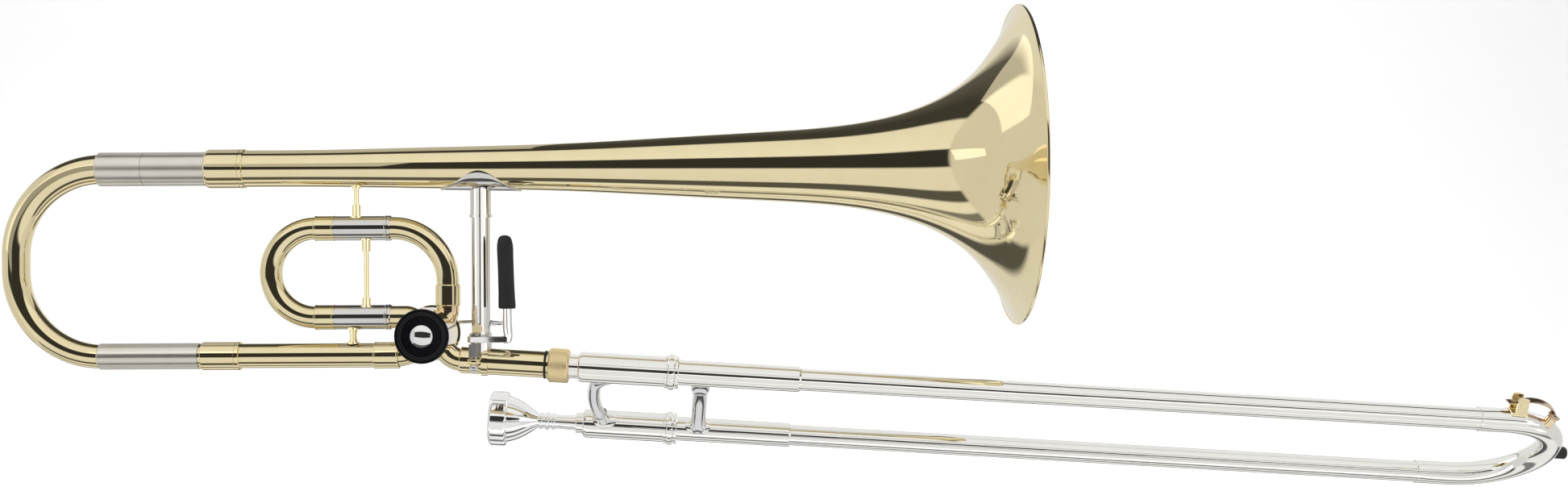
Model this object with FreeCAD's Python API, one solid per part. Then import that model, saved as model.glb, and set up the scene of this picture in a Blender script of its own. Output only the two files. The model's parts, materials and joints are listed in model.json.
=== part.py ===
import FreeCAD, Part
import math
import os
from FreeCAD import Vector

# A compact tenor trombone with a rotary valve, in millimetres.
#
# The row frame has its origin where the axis of the bell brace meets the axis of the
# hand slide. +X runs along the hand slide towards its bow, +Z is up, and the bell
# stands above the slide in the XZ plane. The bell section is drawn level in its own
# frame and then leant back by BELL_LEAN. The slide section is drawn with its
# mouthpiece tube straight below the bell-side tube and then turned by SLIDE_TURN.

# ---- driving dimensions -------------------------------------------------------
BELL_LEAN = 3.6            # degrees that the bell axis rises from the slide axis
SLIDE_TURN = 60.2          # degrees that the slide's plane is turned out of the bell's
BORE = 12.7                # nominal bore of the slide, 0.500 inch
FIT = 0.05                 # radial clearance of a running fit
WALL = 0.8                 # wall of the drawn tubes

NECK_AXIS = 4.0            # height of the neck tube over the slide axis
LEG_SPACING = 120.0        # bell axis over neck axis
BELL_AXIS = NECK_AXIS + LEG_SPACING

# bell and main tuning slide
RIM_X = 343.3              # plane of the bell's rim
RIM_R = 101.2              # bell radius inside the rim wire: an 8 inch bell
RIM_WIRE_R = 1.1
BELL_TAIL_X = -170.0
BELL_TAIL_R = 11.9
BELL_WALL = 0.9
BOW_X = -243.0             # where the tuning bow starts to curve
BOW_CORNER = 55.0          # centre-line radius of the bow's two quarter bends
BOW_UPPER_R = 9.55
BOW_LOWER_R = 7.6
MAIN_PART_X = -215.0       # parting plane of the main tuning slide
NECK_PART_X = -180.0       # parting plane of its lower leg, which is longer
SLEEVE_UPPER_R = 10.85
SLEEVE_LOWER_R = 8.4
LEG_UPPER_R = 10.0
LEG_LOWER_R = 7.15
NECK_R = 7.9
NECK_END = -60.0           # where the neck tube meets the rotor's knuckle

# valve loop
LOOP_UPPER = 85.5
LOOP_LOWER = 28.5
LOOP_BEND_X = -106.0
LOOP_R = 7.15
LOOP_SLEEVE_R = 7.9
LOOP_PART_X = -93.0
LOOP_SLEEVE_END = -57.0
LOOP_DROP_X = -21.2        # the loop's last leg comes down at this X

# rotor
ROTOR_X = -33.6
ROTOR_Z = 17.4
CASING_R = 17.2
CASING_BORE = 15.05
CASING_HALF = 18.5
CORE_HALF = 13.0
PORT_R = 6.4
KNUCKLE_R = LOOP_R + FIT
SPINDLE_R = 3.0
CAP_R = 17.2
CAP_FRONT = -28.5
ARM_THROW = 8.5            # stop arm, centre to link pin

# receiver, lever and braces
RECEIVER_R = 8.5
RECEIVER_BORE = 7.2
RECEIVER_END = 41.0
BRACE_R = 6.0
FOOT_R = 6.9
FOOT_TOP = 18.2
BRACE_SCREW_X = -1.5
BRACE_SCREW_Z = 20.8
POST_X = -2.8
POST_Y = -14.0
LEVER_ROD_X = 18.6
LEVER_ROD_Y = -16.0
LINK_Y = 25.0
LINK_Z = ROTOR_Z + 6.0
LINK_PIN_X = POST_X + 6.0

# hand slide
TUBE_SPACING = 90.0
TUBE_MID = -TUBE_SPACING / 2
INNER_R = 6.55
STOCKING_R = 6.65
OUTER_BORE = STOCKING_R + FIT
OUTER_R = 7.1
INNER_END = 628.0
BARREL_R = 9.8
BARREL_X = 62.6
BARREL_END = 124.3
RING_R = 11.5
SLEEVE_X = 126.8
SLEEVE_END = 205.0
SLEEVE_R = 8.2
SLIDE_BOW_R = 7.75
SLIDE_BOW_X = 658.0        # centre of the slide bow's half circle
UPPER_TUBE_END = 652.0
LOWER_TUBE_END = 647.0
BUMPER_TIP = 718.0
OUTER_BRACE_X = 141.4
MOUTHPIECE_X = -1.8
MOUTHPIECE_R = 18.7
SHANK_R = 5.25
KEY_PIVOT_X = 664.8
KEY_PIVOT_Z = 13.2
KEY_ANGLE = 59.0           # where the drain nipple stands on the bow
KEY_ROLL = -40.0           # degrees that the water key is turned round the upper tube

X_AXIS = Vector(1, 0, 0)
Y_AXIS = Vector(0, 1, 0)
Z_AXIS = Vector(0, 0, 1)
ORIGIN = Vector(0, 0, 0)


# ---- shape helpers --------------------------------------------------------------
def turned(outline, height=0.0, depth=0.0):
    """Revolve (x, radius) points about the line parallel to X at this height."""
    points = [Vector(x, depth, height + radius) for x, radius in outline]
    face = Part.Face(Part.makePolygon(points + points[:1]))
    return face.revolve(Vector(0, depth, height), X_AXIS, 360)


def tube(start, end, outer, inner, height=0.0, depth=0.0):
    """A tube along X."""
    base = Vector(start, depth, height)
    shell = Part.makeCylinder(outer, end - start, base, X_AXIS)
    return shell.cut(Part.makeCylinder(inner, end - start, base, X_AXIS))


def rod(start, end, radius):
    """A round bar between two points."""
    run = end - start
    return Part.makeCylinder(radius, run.Length, start, run)


def lipped(start, end, outer, inner, height=0.0, lip=0.18, width=1.0):
    """A tube along X with a slightly raised, rounded lip at each end."""
    top = outer + lip
    outline = [(start, inner), (start, outer), (start + width / 3, top), (start + width, top),
               (start + width * 1.3, outer), (end - width * 1.3, outer), (end - width, top),
               (end - width / 3, top), (end, outer), (end, inner)]
    return turned(outline, height)


def domed(start, end, outer, inner, height, dome=1.8):
    """A ferrule along X: a domed rear end, and a fine groove near the front one."""
    outline = [(start, inner), (start, outer - dome * 0.55), (start + dome * 0.2, outer - dome * 0.28),
               (start + dome * 0.55, outer - dome * 0.1), (start + dome, outer), (end - 3.3, outer),
               (end - 3.0, outer - 0.3), (end - 2.7, outer + 0.1), (end - 0.4, outer + 0.1),
               (end, outer - 0.4), (end, inner)]
    return turned(outline, height)


def bend_path(points, radii):
    """Straight runs joined by tangent arcs, one radius for each inner point."""
    edges = []
    last = points[0]
    for index, radius in enumerate(radii):
        corner = points[index + 1]
        back = (points[index] - corner).normalize()
        ahead = (points[index + 2] - corner).normalize()
        half = back.getAngle(ahead) / 2
        reach = radius / math.tan(half)
        first = corner + back * reach
        second = corner + ahead * reach
        centre = corner + (back + ahead).normalize() * (radius / math.sin(half))
        middle = centre + (corner - centre).normalize() * radius
        if (first - last).Length > 1e-6:
            edges.append(Part.LineSegment(last, first).toShape())
        edges.append(Part.Arc(first, middle, second).toShape())
        last = second
    if (points[-1] - last).Length > 1e-6:
        edges.append(Part.LineSegment(last, points[-1]).toShape())
    return Part.Wire(edges)


def ring_at(path, radius, at_end=False):
    """A circle square to a path at its start or its end."""
    edge = path.OrderedEdges[-1 if at_end else 0]
    parameter = edge.LastParameter if at_end else edge.FirstParameter
    circle = Part.Circle(edge.valueAt(parameter), edge.tangentAt(parameter), radius)
    return Part.Wire([circle.toShape()])


def swept(path, radius):
    return path.makePipeShell([ring_at(path, radius)], True, False)


def bent_tube(points, radii, outer, inner):
    path = bend_path(points, radii)
    return swept(path, outer).cut(swept(path, inner))


def tapered_sweep(path, first, last):
    shell = Part.BRepOffsetAPI.MakePipeShell(path)
    shell.add(ring_at(path, first))
    shell.add(ring_at(path, last, True))
    shell.build()
    shell.makeSolid()
    return shell.shape()


def plate(outline, low, high):
    """An outline of (x, z) points extruded along Y."""
    points = [Vector(x, low, z) for x, z in outline]
    face = Part.Face(Part.makePolygon(points + points[:1]))
    return face.extrude(Vector(0, high - low, 0))


def drum(x, z, radius, low, high):
    """A cylinder along Y."""
    return Part.makeCylinder(radius, high - low, Vector(x, low, z), Y_AXIS)


def post(x, y, radius, low, high):
    """A cylinder along Z."""
    return Part.makeCylinder(radius, high - low, Vector(x, y, low), Z_AXIS)


def in_plane(x, z):
    return Vector(x, 0, z)


def receiver_body():
    """The receiver's outside as the leant frame sees it, for trimming what sits on it."""
    body = Part.makeCylinder(RECEIVER_R, 80, Vector(-30, 0, 0), X_AXIS)
    return body.rotate(ORIGIN, Y_AXIS, BELL_LEAN)


def largest(shape):
    """The biggest solid that is left after trimming."""
    return max(shape.Solids, key=lambda solid: solid.Volume)


# ---- bell and tuning slide ------------------------------------------------------
def bell_curve():
    """The bell's outer profile: a slow cone that opens as a flare near the rim."""
    behind_rim = [(513.3, 11.9), (445.0, 12.0), (383.0, 13.2), (290.0, 15.4), (228.0, 18.6),
                  (166.0, 22.0), (119.0, 25.3), (88.0, 30.0), (57.0, 39.6), (42.0, 47.6),
                  (26.5, 60.0), (13.5, 76.5), (5.0, 91.0), (0.6, RIM_R)]
    points = [in_plane(RIM_X - back, BELL_AXIS + radius) for back, radius in behind_rim]
    curve = Part.BSplineCurve()
    curve.interpolate(points)
    return curve


def offset_curve(curve, distance, count=40):
    """A curve at a constant distance, on the bell axis side."""
    points = []
    for index in range(count + 1):
        at = curve.FirstParameter + (curve.LastParameter - curve.FirstParameter) * index / count
        along = curve.tangent(at)[0]
        inward = Vector(along.z, 0, -along.x)
        points.append(curve.value(at) + inward * distance)
    result = Part.BSplineCurve()
    result.interpolate(points)
    return result


def between_curves(outer, inner):
    """Revolve the band between two profiles about the bell axis."""
    near = Part.LineSegment(outer.StartPoint, inner.StartPoint).toShape()
    far = Part.LineSegment(outer.EndPoint, inner.EndPoint).toShape()
    wire = Part.Wire([outer.toShape(), far, inner.toShape(), near])
    return Part.Face(wire).revolve(in_plane(0, BELL_AXIS), X_AXIS, 360)


def bell_parts():
    outer = bell_curve()
    bell = between_curves(outer, offset_curve(outer, BELL_WALL))
    wire = Part.makeTorus(RIM_R + 0.2, RIM_WIRE_R, in_plane(RIM_X, BELL_AXIS), X_AXIS)
    front = -150.2
    tail = domed(-175.0, front, 12.5, SLEEVE_UPPER_R, BELL_AXIS)
    tail = tail.cut(tube(BELL_TAIL_X, front + 1, BELL_TAIL_R, 1.0, BELL_AXIS))
    return {"bell": bell.cut(wire), "bell_rim_wire": wire, "bell_tail_ferrule": tail.removeSplitter()}


def tuning_slide_parts():
    stub_x = -225.0
    corners = [in_plane(stub_x, BELL_AXIS), in_plane(BOW_X - BOW_CORNER, BELL_AXIS),
               in_plane(BOW_X - BOW_CORNER, NECK_AXIS), in_plane(stub_x, NECK_AXIS)]
    path = bend_path(corners, [BOW_CORNER, BOW_CORNER])
    outside = tapered_sweep(path, BOW_UPPER_R, BOW_LOWER_R)
    bow = outside.cut(tapered_sweep(path, BOW_UPPER_R - WALL, BOW_LOWER_R - WALL))
    ferrule_end = MAIN_PART_X - 0.3
    upper = turned([(-244.5, BOW_UPPER_R), (-244.5, 10.3), (-243.9, SLEEVE_UPPER_R),
                    (ferrule_end, SLEEVE_UPPER_R), (ferrule_end, LEG_UPPER_R),
                    (stub_x, LEG_UPPER_R), (stub_x, BOW_UPPER_R)], BELL_AXIS)
    lower_end = NECK_PART_X - 0.3
    lower = turned([(-244.5, BOW_LOWER_R), (-244.5, 7.9), (-243.9, SLEEVE_LOWER_R),
                    (lower_end, SLEEVE_LOWER_R), (lower_end, LEG_LOWER_R),
                    (stub_x, LEG_LOWER_R), (stub_x, BOW_LOWER_R)], NECK_AXIS)
    return {
        "tuning_bow": bow,
        "tuning_bow_ferrule_upper": largest(upper.cut(outside)),
        "tuning_bow_ferrule_lower": largest(lower.cut(outside)),
        "tuning_leg_upper": tube(stub_x, -184.0, LEG_UPPER_R, LEG_UPPER_R - WALL, BELL_AXIS),
        "tuning_leg_lower": tube(stub_x, -140.0, LEG_LOWER_R, LEG_LOWER_R - 0.6, NECK_AXIS),
    }


def neck_parts():
    sleeve = tube(MAIN_PART_X, BELL_TAIL_X, SLEEVE_UPPER_R, LEG_UPPER_R + FIT, BELL_AXIS)
    return {
        "tuning_sleeve": sleeve,
        "neck_rear_ferrule": domed(-178.6, -153.8, 9.1, NECK_R, NECK_AXIS, 0.8),
        "neck_tube": tube(NECK_PART_X, NECK_END, NECK_R, LEG_LOWER_R + FIT, NECK_AXIS),
        "neck_front_ferrule": lipped(-68.2, -52.3, 8.6, NECK_R, NECK_AXIS),
    }


# ---- valve loop -----------------------------------------------------------------
def valve_slide_parts():
    spread = (LOOP_UPPER - LOOP_LOWER) / 2
    end_x = -62.5
    turn_x = LOOP_BEND_X - spread
    corners = [in_plane(-100.0, LOOP_UPPER), in_plane(turn_x, LOOP_UPPER),
               in_plane(turn_x, LOOP_LOWER), in_plane(-100.0, LOOP_LOWER)]
    bend = spread - 0.01
    parts = {"valve_slide_bow": bent_tube(corners, [bend, bend], LOOP_R, LOOP_R - 0.7)}
    for name, height in (("upper", LOOP_UPPER), ("lower", LOOP_LOWER)):
        ferrule = lipped(LOOP_BEND_X, LOOP_PART_X - 0.3, 7.95, LOOP_R, height)
        parts["valve_slide_ferrule_" + name] = ferrule
        parts["valve_slide_leg_" + name] = tube(-100.0, end_x, LOOP_R, LOOP_R - 0.7, height)
    return parts


def valve_loop_parts():
    bore = LOOP_R + FIT
    parts = {}
    for name, height in (("upper", LOOP_UPPER), ("lower", LOOP_LOWER)):
        sleeve = turned([(LOOP_PART_X, bore), (LOOP_PART_X, LOOP_SLEEVE_R),
                         (-61.0, LOOP_SLEEVE_R), (-60.6, 8.2), (-59.7, 8.2), (-59.3, 7.8),
                         (-58.9, 8.2), (-58.0, 8.2), (LOOP_SLEEVE_END, 7.7),
                         (LOOP_SLEEVE_END, bore)], height)
        parts["loop_sleeve_" + name] = sleeve
    bend = 34.8
    top = 50.7
    points = [in_plane(-61.0, LOOP_UPPER), in_plane(LOOP_DROP_X, LOOP_UPPER),
              in_plane(LOOP_DROP_X, 45.0)]
    parts["loop_top_bow"] = bent_tube(points, [bend], bore, bore - 0.75)
    ring = post(LOOP_DROP_X, 0, 8.1, 35.5, top - 1.5).cut(post(LOOP_DROP_X, 0, bore, 35.0, top))
    parts["loop_drop_ferrule"] = ring.makeFillet(0.7, outer_edges(ring, 8.1))
    return parts


def outer_edges(shape, radius):
    """The circular edges of this radius."""
    return [edge for edge in shape.Edges
            if isinstance(edge.Curve, Part.Circle) and abs(edge.Curve.Radius - radius) < 1e-6]


# ---- rotor ----------------------------------------------------------------------
def diagonal(angle, distance):
    turn = math.radians(angle)
    return in_plane(ROTOR_X + distance * math.cos(turn), ROTOR_Z + distance * math.sin(turn))


def knuckle(angle, heading, end, radius):
    """A port elbow: out of the casing on a diagonal, then level to its end point."""
    run = Vector(math.cos(math.radians(heading)), 0, math.sin(math.radians(heading)))
    out = Vector(math.cos(math.radians(angle)), 0, math.sin(math.radians(angle)))
    centre = in_plane(ROTOR_X, ROTOR_Z)
    offset = end - centre
    along = (offset.x * run.z - offset.z * run.x) / (out.x * run.z - out.z * run.x)
    corner = centre + out * along
    body = bent_tube([centre + out * 3.0, corner, end], [radius], KNUCKLE_R, PORT_R)
    return body.cut(drum(ROTOR_X, ROTOR_Z, CASING_R, -20, 20))


def rotor_casing_parts():
    casing = drum(ROTOR_X, ROTOR_Z, CASING_R, -CASING_HALF, CASING_HALF)
    casing = casing.fuse(drum(ROTOR_X, ROTOR_Z, CASING_R + 0.8, 15.2, CASING_HALF))
    casing = casing.cut(drum(ROTOR_X, ROTOR_Z, CASING_BORE, -CASING_HALF, CASING_HALF))
    for angle in (45, 135, 225, 315):
        casing = casing.cut(rod(diagonal(angle, 5.0), diagonal(angle, 25.0), PORT_R))
    lean = math.radians(BELL_LEAN)
    foot = in_plane(-9.0 * math.cos(lean), 9.0 * math.sin(lean))
    parts = {
        "rotor_casing": casing,
        "knuckle_neck": knuckle(225, 180, in_plane(NECK_END, NECK_AXIS), 12.5),
        "knuckle_loop_in": knuckle(135, 180, in_plane(-59.0, LOOP_LOWER), 9.0),
        "loop_drop_knuckle": knuckle(45, 90, in_plane(LOOP_DROP_X, 45.0), 9.0),
        "knuckle_receiver": knuckle(315, -BELL_LEAN, foot, 12.5),
    }
    for name, low, high in (("front", -18.0, -14.0), ("back", 14.0, 18.0)):
        disc = drum(ROTOR_X, ROTOR_Z, CASING_BORE, low, high)
        bore = drum(ROTOR_X, ROTOR_Z, SPINDLE_R + FIT, low, high)
        parts["bearing_plate_" + name] = disc.cut(bore)
    for name, angle in (("rest", 201), ("pressed", 339)):
        spot = diagonal(angle, 11.5)
        parts["stop_bumper_" + name] = drum(spot.x, spot.z, 1.9, 18.0, 22.6)
    return parts


def rotor_cap_parts():
    back = -CASING_HALF
    rim = drum(ROTOR_X, ROTOR_Z, CAP_R, CAP_FRONT + 0.6, back)
    face_r = CAP_R - 0.6
    rim = rim.cut(drum(ROTOR_X, ROTOR_Z, face_r, CAP_FRONT, back))
    rim = rim.makeFillet(0.3, outer_edges(rim, CAP_R)[:1])
    face = drum(ROTOR_X, ROTOR_Z, face_r, CAP_FRONT, back - 2.0)
    parts = {"rotor_cap_rim": rim}
    for name, radius in (("inner", 13.5), ("outer", 14.8)):
        band = drum(ROTOR_X, ROTOR_Z, radius + 0.25, CAP_FRONT - 0.15, CAP_FRONT + 0.6)
        hole = drum(ROTOR_X, ROTOR_Z, radius - 0.25, CAP_FRONT - 1, CAP_FRONT + 1)
        parts["rotor_cap_ring_" + name] = band.cut(hole)
        face = face.cut(parts["rotor_cap_ring_" + name])
    dome_r = 12.0
    button_r = 7.0
    sink = math.sqrt(dome_r ** 2 - button_r ** 2)
    dome = Part.makeSphere(dome_r, Vector(ROTOR_X, CAP_FRONT - 0.4 + sink, ROTOR_Z))
    button = dome.common(drum(ROTOR_X, ROTOR_Z, button_r, CAP_FRONT - 6, CAP_FRONT + 1.5))
    parts["rotor_cap_face"] = face.cut(button)
    parts["rotor_cap_button"] = button
    return parts


def rotor_parts():
    core = drum(ROTOR_X, ROTOR_Z, CASING_BORE - FIT, -CORE_HALF, CORE_HALF)
    passage = 15.0
    reach = passage * math.sqrt(2)
    for side in (-1, 1):
        centre = in_plane(ROTOR_X, ROTOR_Z + side * reach)
        core = core.cut(Part.makeTorus(passage, 5.6, centre, Y_AXIS))
    spindle = drum(ROTOR_X, ROTOR_Z, SPINDLE_R, -17.0, 19.0)
    core = core.cut(spindle)
    hub = drum(ROTOR_X, ROTOR_Z, 5.2, 19.0, 22.0)
    tip = diagonal(45, ARM_THROW)
    finger_end = diagonal(225, 12.5)
    hub = hub.fuse(arm_bar(diagonal(45, 0), tip, 2.6, 19.4, 22.0))
    hub = hub.fuse(arm_bar(diagonal(225, 0), finger_end, 1.9, 19.4, 22.0))
    hub = hub.fuse(drum(tip.x, tip.z, 1.3, 22.0, 23.4))
    screw = drum(ROTOR_X, ROTOR_Z, 3.4, 22.0, 23.6)
    slot = plate([(ROTOR_X - 4, ROTOR_Z - 0.4), (ROTOR_X + 4, ROTOR_Z - 0.4),
                  (ROTOR_X + 4, ROTOR_Z + 0.4), (ROTOR_X - 4, ROTOR_Z + 0.4)], 22.8, 24.0)
    arm = Part.Compound([hub.removeSplitter(), screw.cut(slot)])
    return {"rotor_core": core, "rotor_spindle": spindle, "stop_arm_and_screw": arm}


def arm_bar(start, end, half_width, low, high):
    """A flat bar with round ends, lying square to Y."""
    run = end - start
    side = Vector(-run.z, 0, run.x).normalize() * half_width
    corners = [start + side, end + side, end - side, start - side]
    bar = plate([(corner.x, corner.z) for corner in corners], low, high)
    return bar.fuse(drum(end.x, end.z, half_width, low, high))


# ---- braces ---------------------------------------------------------------------
def rod_brace(x, top, bottom, thin, thick, sockets):
    """A thin rod with a flange at each end and sockets of the given lengths."""
    brace = post(x, 0, thin, bottom, top)
    upper_socket, lower_socket = sockets
    brace = brace.fuse(post(x, 0, thick, top - upper_socket, top))
    brace = brace.fuse(post(x, 0, thick, bottom, bottom + lower_socket))
    for height, side in ((top, -1), (bottom, 1)):
        low, high = sorted((height, height + side * 1.6))
        brace = brace.fuse(post(x, 0, thick + 2.0, low, high))
    return brace.removeSplitter()


def brass_braces(bell):
    on_bell = rod_brace(-79.6, 113.4, 91.6, 1.6, 2.7, (2.5, 9.0))
    on_bell = on_bell.cut(bell).cut(tube(-95, -61, LOOP_SLEEVE_R, 1.0, LOOP_UPPER))
    across = rod_brace(-73.4, 79.6, 34.4, 1.6, 2.7, (9.0, 6.5))
    across = across.cut(tube(-93, -61, LOOP_SLEEVE_R, 1.0, LOOP_UPPER))
    across = across.cut(tube(-93, -61, LOOP_SLEEVE_R, 1.0, LOOP_LOWER))
    to_neck = rod_brace(-82.0, 22.4, 11.0, 2.2, 2.7, (3.6, 3.2))
    to_neck = to_neck.cut(tube(-95, -61, LOOP_SLEEVE_R, 1.0, LOOP_LOWER))
    to_neck = to_neck.cut(tube(-95, -61, 8.7, 1.0, NECK_AXIS))
    parts = {"brace_bell_to_loop": on_bell, "brace_across_loop": across,
             "brace_loop_to_neck": to_neck}
    return {name: largest(brace) for name, brace in parts.items()}


def bell_brace_parts():
    outer = bell_curve()
    band = between_curves(offset_curve(outer, -1.0), outer)
    hump = [(-25.0, BELL_AXIS - 20), (-25.0, BELL_AXIS - 13.5), (-15.0, BELL_AXIS - 10.0),
            (-6.5, BELL_AXIS - 4.5), (0.0, BELL_AXIS - 2.5), (6.5, BELL_AXIS - 4.5),
            (15.0, BELL_AXIS - 10.0), (26.0, BELL_AXIS - 14.6), (26.0, BELL_AXIS - 20)]
    curve = Part.BSplineCurve()
    curve.interpolate([Vector(x, -30, z) for x, z in hump[1:-1]])
    low_left = Vector(hump[0][0], -30, hump[0][1])
    low_right = Vector(hump[-1][0], -30, hump[-1][1])
    edges = [curve.toShape(), Part.LineSegment(curve.EndPoint, low_right).toShape(),
             Part.LineSegment(low_right, low_left).toShape(),
             Part.LineSegment(low_left, curve.StartPoint).toShape()]
    block = Part.Face(Part.Wire(edges)).extrude(Vector(0, 60, 0))
    saddle = largest(band.common(block))
    core = between_curves(offset_curve(outer, -1.0), offset_curve(outer, 8.0))
    socket = post(0, 0, 6.7, 93.5, 112.0).fuse(post(0, 0, 7.3, 92.0, 94.0))
    socket = socket.cut(post(0, 0, BRACE_R, 90, 100)).cut(core)
    pillar = post(0, 0, BRACE_R, FOOT_TOP, 100.0).cut(post(0, 0, BRACE_R - 0.8, FOOT_TOP, 99.0))
    pillar = pillar.cut(brace_screw_shank())
    foot = largest(post(0, 0, FOOT_R, 4.0, FOOT_TOP).cut(receiver_body()).cut(brace_screw_shank()))
    return {"bell_brace_saddle": saddle, "bell_brace_socket": largest(socket),
            "bell_brace_pillar": pillar, "bell_brace_foot": foot}


# ---- receiver and thumb lever ---------------------------------------------------
def receiver_parts():
    """Drawn on the slide axis, so it isn't leant."""
    end = RECEIVER_END
    outline = [(-13.5, KNUCKLE_R), (-13.5, 7.9), (-12.6, RECEIVER_R), (end - 1.0, RECEIVER_R),
               (end, 8.2), (end + 1.6, 8.2), (end + 1.6, 9.2), (51.5, 9.2), (51.5, RECEIVER_BORE),
               (16.0, RECEIVER_BORE), (16.0, PORT_R), (-9.0, PORT_R), (-9.0, KNUCKLE_R)]
    ring = Part.makeTorus(8.35, 0.75, Vector(end + 0.3, 0, 0), X_AXIS)
    barrel = turned(outline).cut(ring)
    return {"slide_receiver": barrel, "receiver_ring": ring}


def lever_bracket_parts():
    """The front bracket on the receiver that carries the lever's post."""
    block = Part.makeBox(9.0, 9.5, 3.4, Vector(POST_X - 4.0, POST_Y - 3.2, -0.9))
    strap = tube(POST_X - 4.0, POST_X + 5.0, RECEIVER_R + 1.0, RECEIVER_R)
    strap = strap.common(Part.makeBox(30, 12, 17, Vector(-15, -12, -8.5)))
    rib = plate([(1.2, -3.5), (3.6, -3.5), (3.6, 7.0), (1.2, 7.0)], -12.5, -3.0)
    bracket = block.fuse(strap).fuse(rib)
    bracket = bracket.cut(receiver_body()).cut(post(0, 0, FOOT_R, 0, 20))
    pivot = post(POST_X, POST_Y, 1.9, 2.5, 17.0).fuse(post(POST_X, POST_Y, 3.0, 17.0, 18.4))
    knob = Part.makeSphere(2.8, Vector(POST_X, POST_Y - 1.4, -3.0))
    knob = knob.cut(block)
    coil = post(POST_X, POST_Y, 3.5, 2.7, 12.1).cut(post(POST_X, POST_Y, 2.3, 2.0, 13.0))
    bracket = largest(bracket)
    return {"lever_bracket": bracket, "lever_post_and_nut": Part.Compound([pivot, knob]),
            "lever_spring": coil}


def thumb_lever_parts():
    low, high = 12.5, 16.7
    bar = Part.makeBox(LEVER_ROD_X - POST_X, 6.0, high - low, Vector(POST_X, POST_Y - 3.0, low))
    bar = bar.fuse(post(POST_X, POST_Y, 3.8, low, high))
    lever_rod = post(LEVER_ROD_X, LEVER_ROD_Y, 2.6, low + 1.5, 79.0)
    lever_rod = lever_rod.fuse(Part.makeSphere(2.6, Vector(LEVER_ROD_X, LEVER_ROD_Y, low + 1.5)))
    path = bend_path([Vector(15.0, -13.0, 14.6), Vector(21.5, -7.0, 15.2), Vector(17.5, 12.0, LINK_Z),
                      Vector(LINK_PIN_X, LINK_Y, LINK_Z)], [6.0, 9.0])
    arm = swept(path, 1.7)
    eye = post(LINK_PIN_X, LINK_Y, 3.1, LINK_Z - 1.9, LINK_Z - 0.4)
    arm = arm.cut(post(LINK_PIN_X, LINK_Y, 3.6, LINK_Z - 0.4, LINK_Z + 4)).fuse(eye)
    arm = arm.fuse(post(LINK_PIN_X, LINK_Y, 1.2, LINK_Z - 0.5, LINK_Z + 1.6))
    lever = bar.fuse(lever_rod).fuse(arm)
    lever = lever.cut(post(POST_X, POST_Y, 1.9 + FIT, low - 1, high + 1))
    sleeve = grip_sleeve(LEVER_ROD_X, LEVER_ROD_Y, 34.0, 80.5)
    lever = lever.cut(post(LEVER_ROD_X, LEVER_ROD_Y, 4, 79.0, 90))
    return {"thumb_lever": lever.removeSplitter(), "lever_grip": sleeve}


def grip_sleeve(x, y, low, high):
    """A rubber sleeve, slightly waisted and closed at the top."""
    outline = [(0, low), (4.9, low), (5.5, low + 0.8), (5.2, (low + high) / 2),
               (5.4, high - 1.2), (4.8, high - 0.1), (0, high)]
    points = [Vector(x + radius, y, z) for radius, z in outline]
    face = Part.Face(Part.makePolygon(points + points[:1]))
    sleeve = face.revolve(Vector(x, y, 0), Z_AXIS, 360)
    return sleeve.cut(post(x, y, 2.6, low - 1, 79.0))


def link_parts():
    """The rod from the lever arm to the stop arm, with an eye at each end."""
    pin = diagonal(45, ARM_THROW)
    near = Vector(LINK_PIN_X - 1.5, LINK_Y, LINK_Z + 1.1)
    bar = rod(Vector(pin.x, LINK_Y + 0.6, LINK_Z), near, 1.1)
    eye = post(LINK_PIN_X, LINK_Y, 2.5, LINK_Z - 0.1, LINK_Z + 1.4)
    far = drum(pin.x, pin.z, 2.6, 23.8, 26.4)
    link = bar.fuse(eye).fuse(far)
    link = link.cut(post(LINK_PIN_X, LINK_Y, 1.2 + FIT, LINK_Z - 3, LINK_Z + 3))
    screw = drum(pin.x, pin.z, 2.0, 26.4, 27.6)
    return {"link_rod_and_screw": Part.Compound([link.removeSplitter(), screw])}


def brace_screw_shank():
    return drum(BRACE_SCREW_X, BRACE_SCREW_Z, 1.8, -6.9, -3.0)


def brace_screw_parts():
    x, z = BRACE_SCREW_X, BRACE_SCREW_Z
    head = drum(x, z, 3.3, -8.6, -6.9)
    shank = brace_screw_shank()
    slot = plate([(x - 3, z - 0.35), (x + 3, z - 0.35), (x + 3, z + 0.35), (x - 3, z + 0.35)],
                 -9.0, -7.9)
    return {"brace_screw": head.fuse(shank).cut(slot)}


# ---- slide section --------------------------------------------------------------
def lock_nut_parts():
    outline = [(43.2, 9.3), (43.2, 10.0), (44.0, 11.0), (45.6, 11.3), (46.6, 10.9), (53.4, 10.9),
               (54.4, 11.3), (55.8, 11.0), (56.6, 10.0), (56.6, 7.9), (52.4, 7.9), (52.4, 9.3)]
    return {"bell_lock_nut": turned(outline)}


def cork_barrel(height):
    outline = [(BARREL_X, INNER_R), (BARREL_X, 8.6), (BARREL_X + 0.7, 9.4), (BARREL_X + 2.0, BARREL_R),
               (117.8, BARREL_R), (118.1, 10.6), (119.4, 10.6), (119.7, BARREL_R),
               (BARREL_END, BARREL_R), (BARREL_END, 8.9), (BARREL_X + 3.4, 8.9),
               (BARREL_X + 3.4, INNER_R)]
    return turned(outline, height)


def inner_tube(start, height):
    bore = BORE / 2 - 0.3
    swell = 540.0
    outline = [(start, bore), (start, INNER_R), (swell, INNER_R), (swell + 2, STOCKING_R),
               (INNER_END - 0.5, STOCKING_R), (INNER_END, STOCKING_R - 0.3), (INNER_END, bore)]
    return turned(outline, height)


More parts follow.
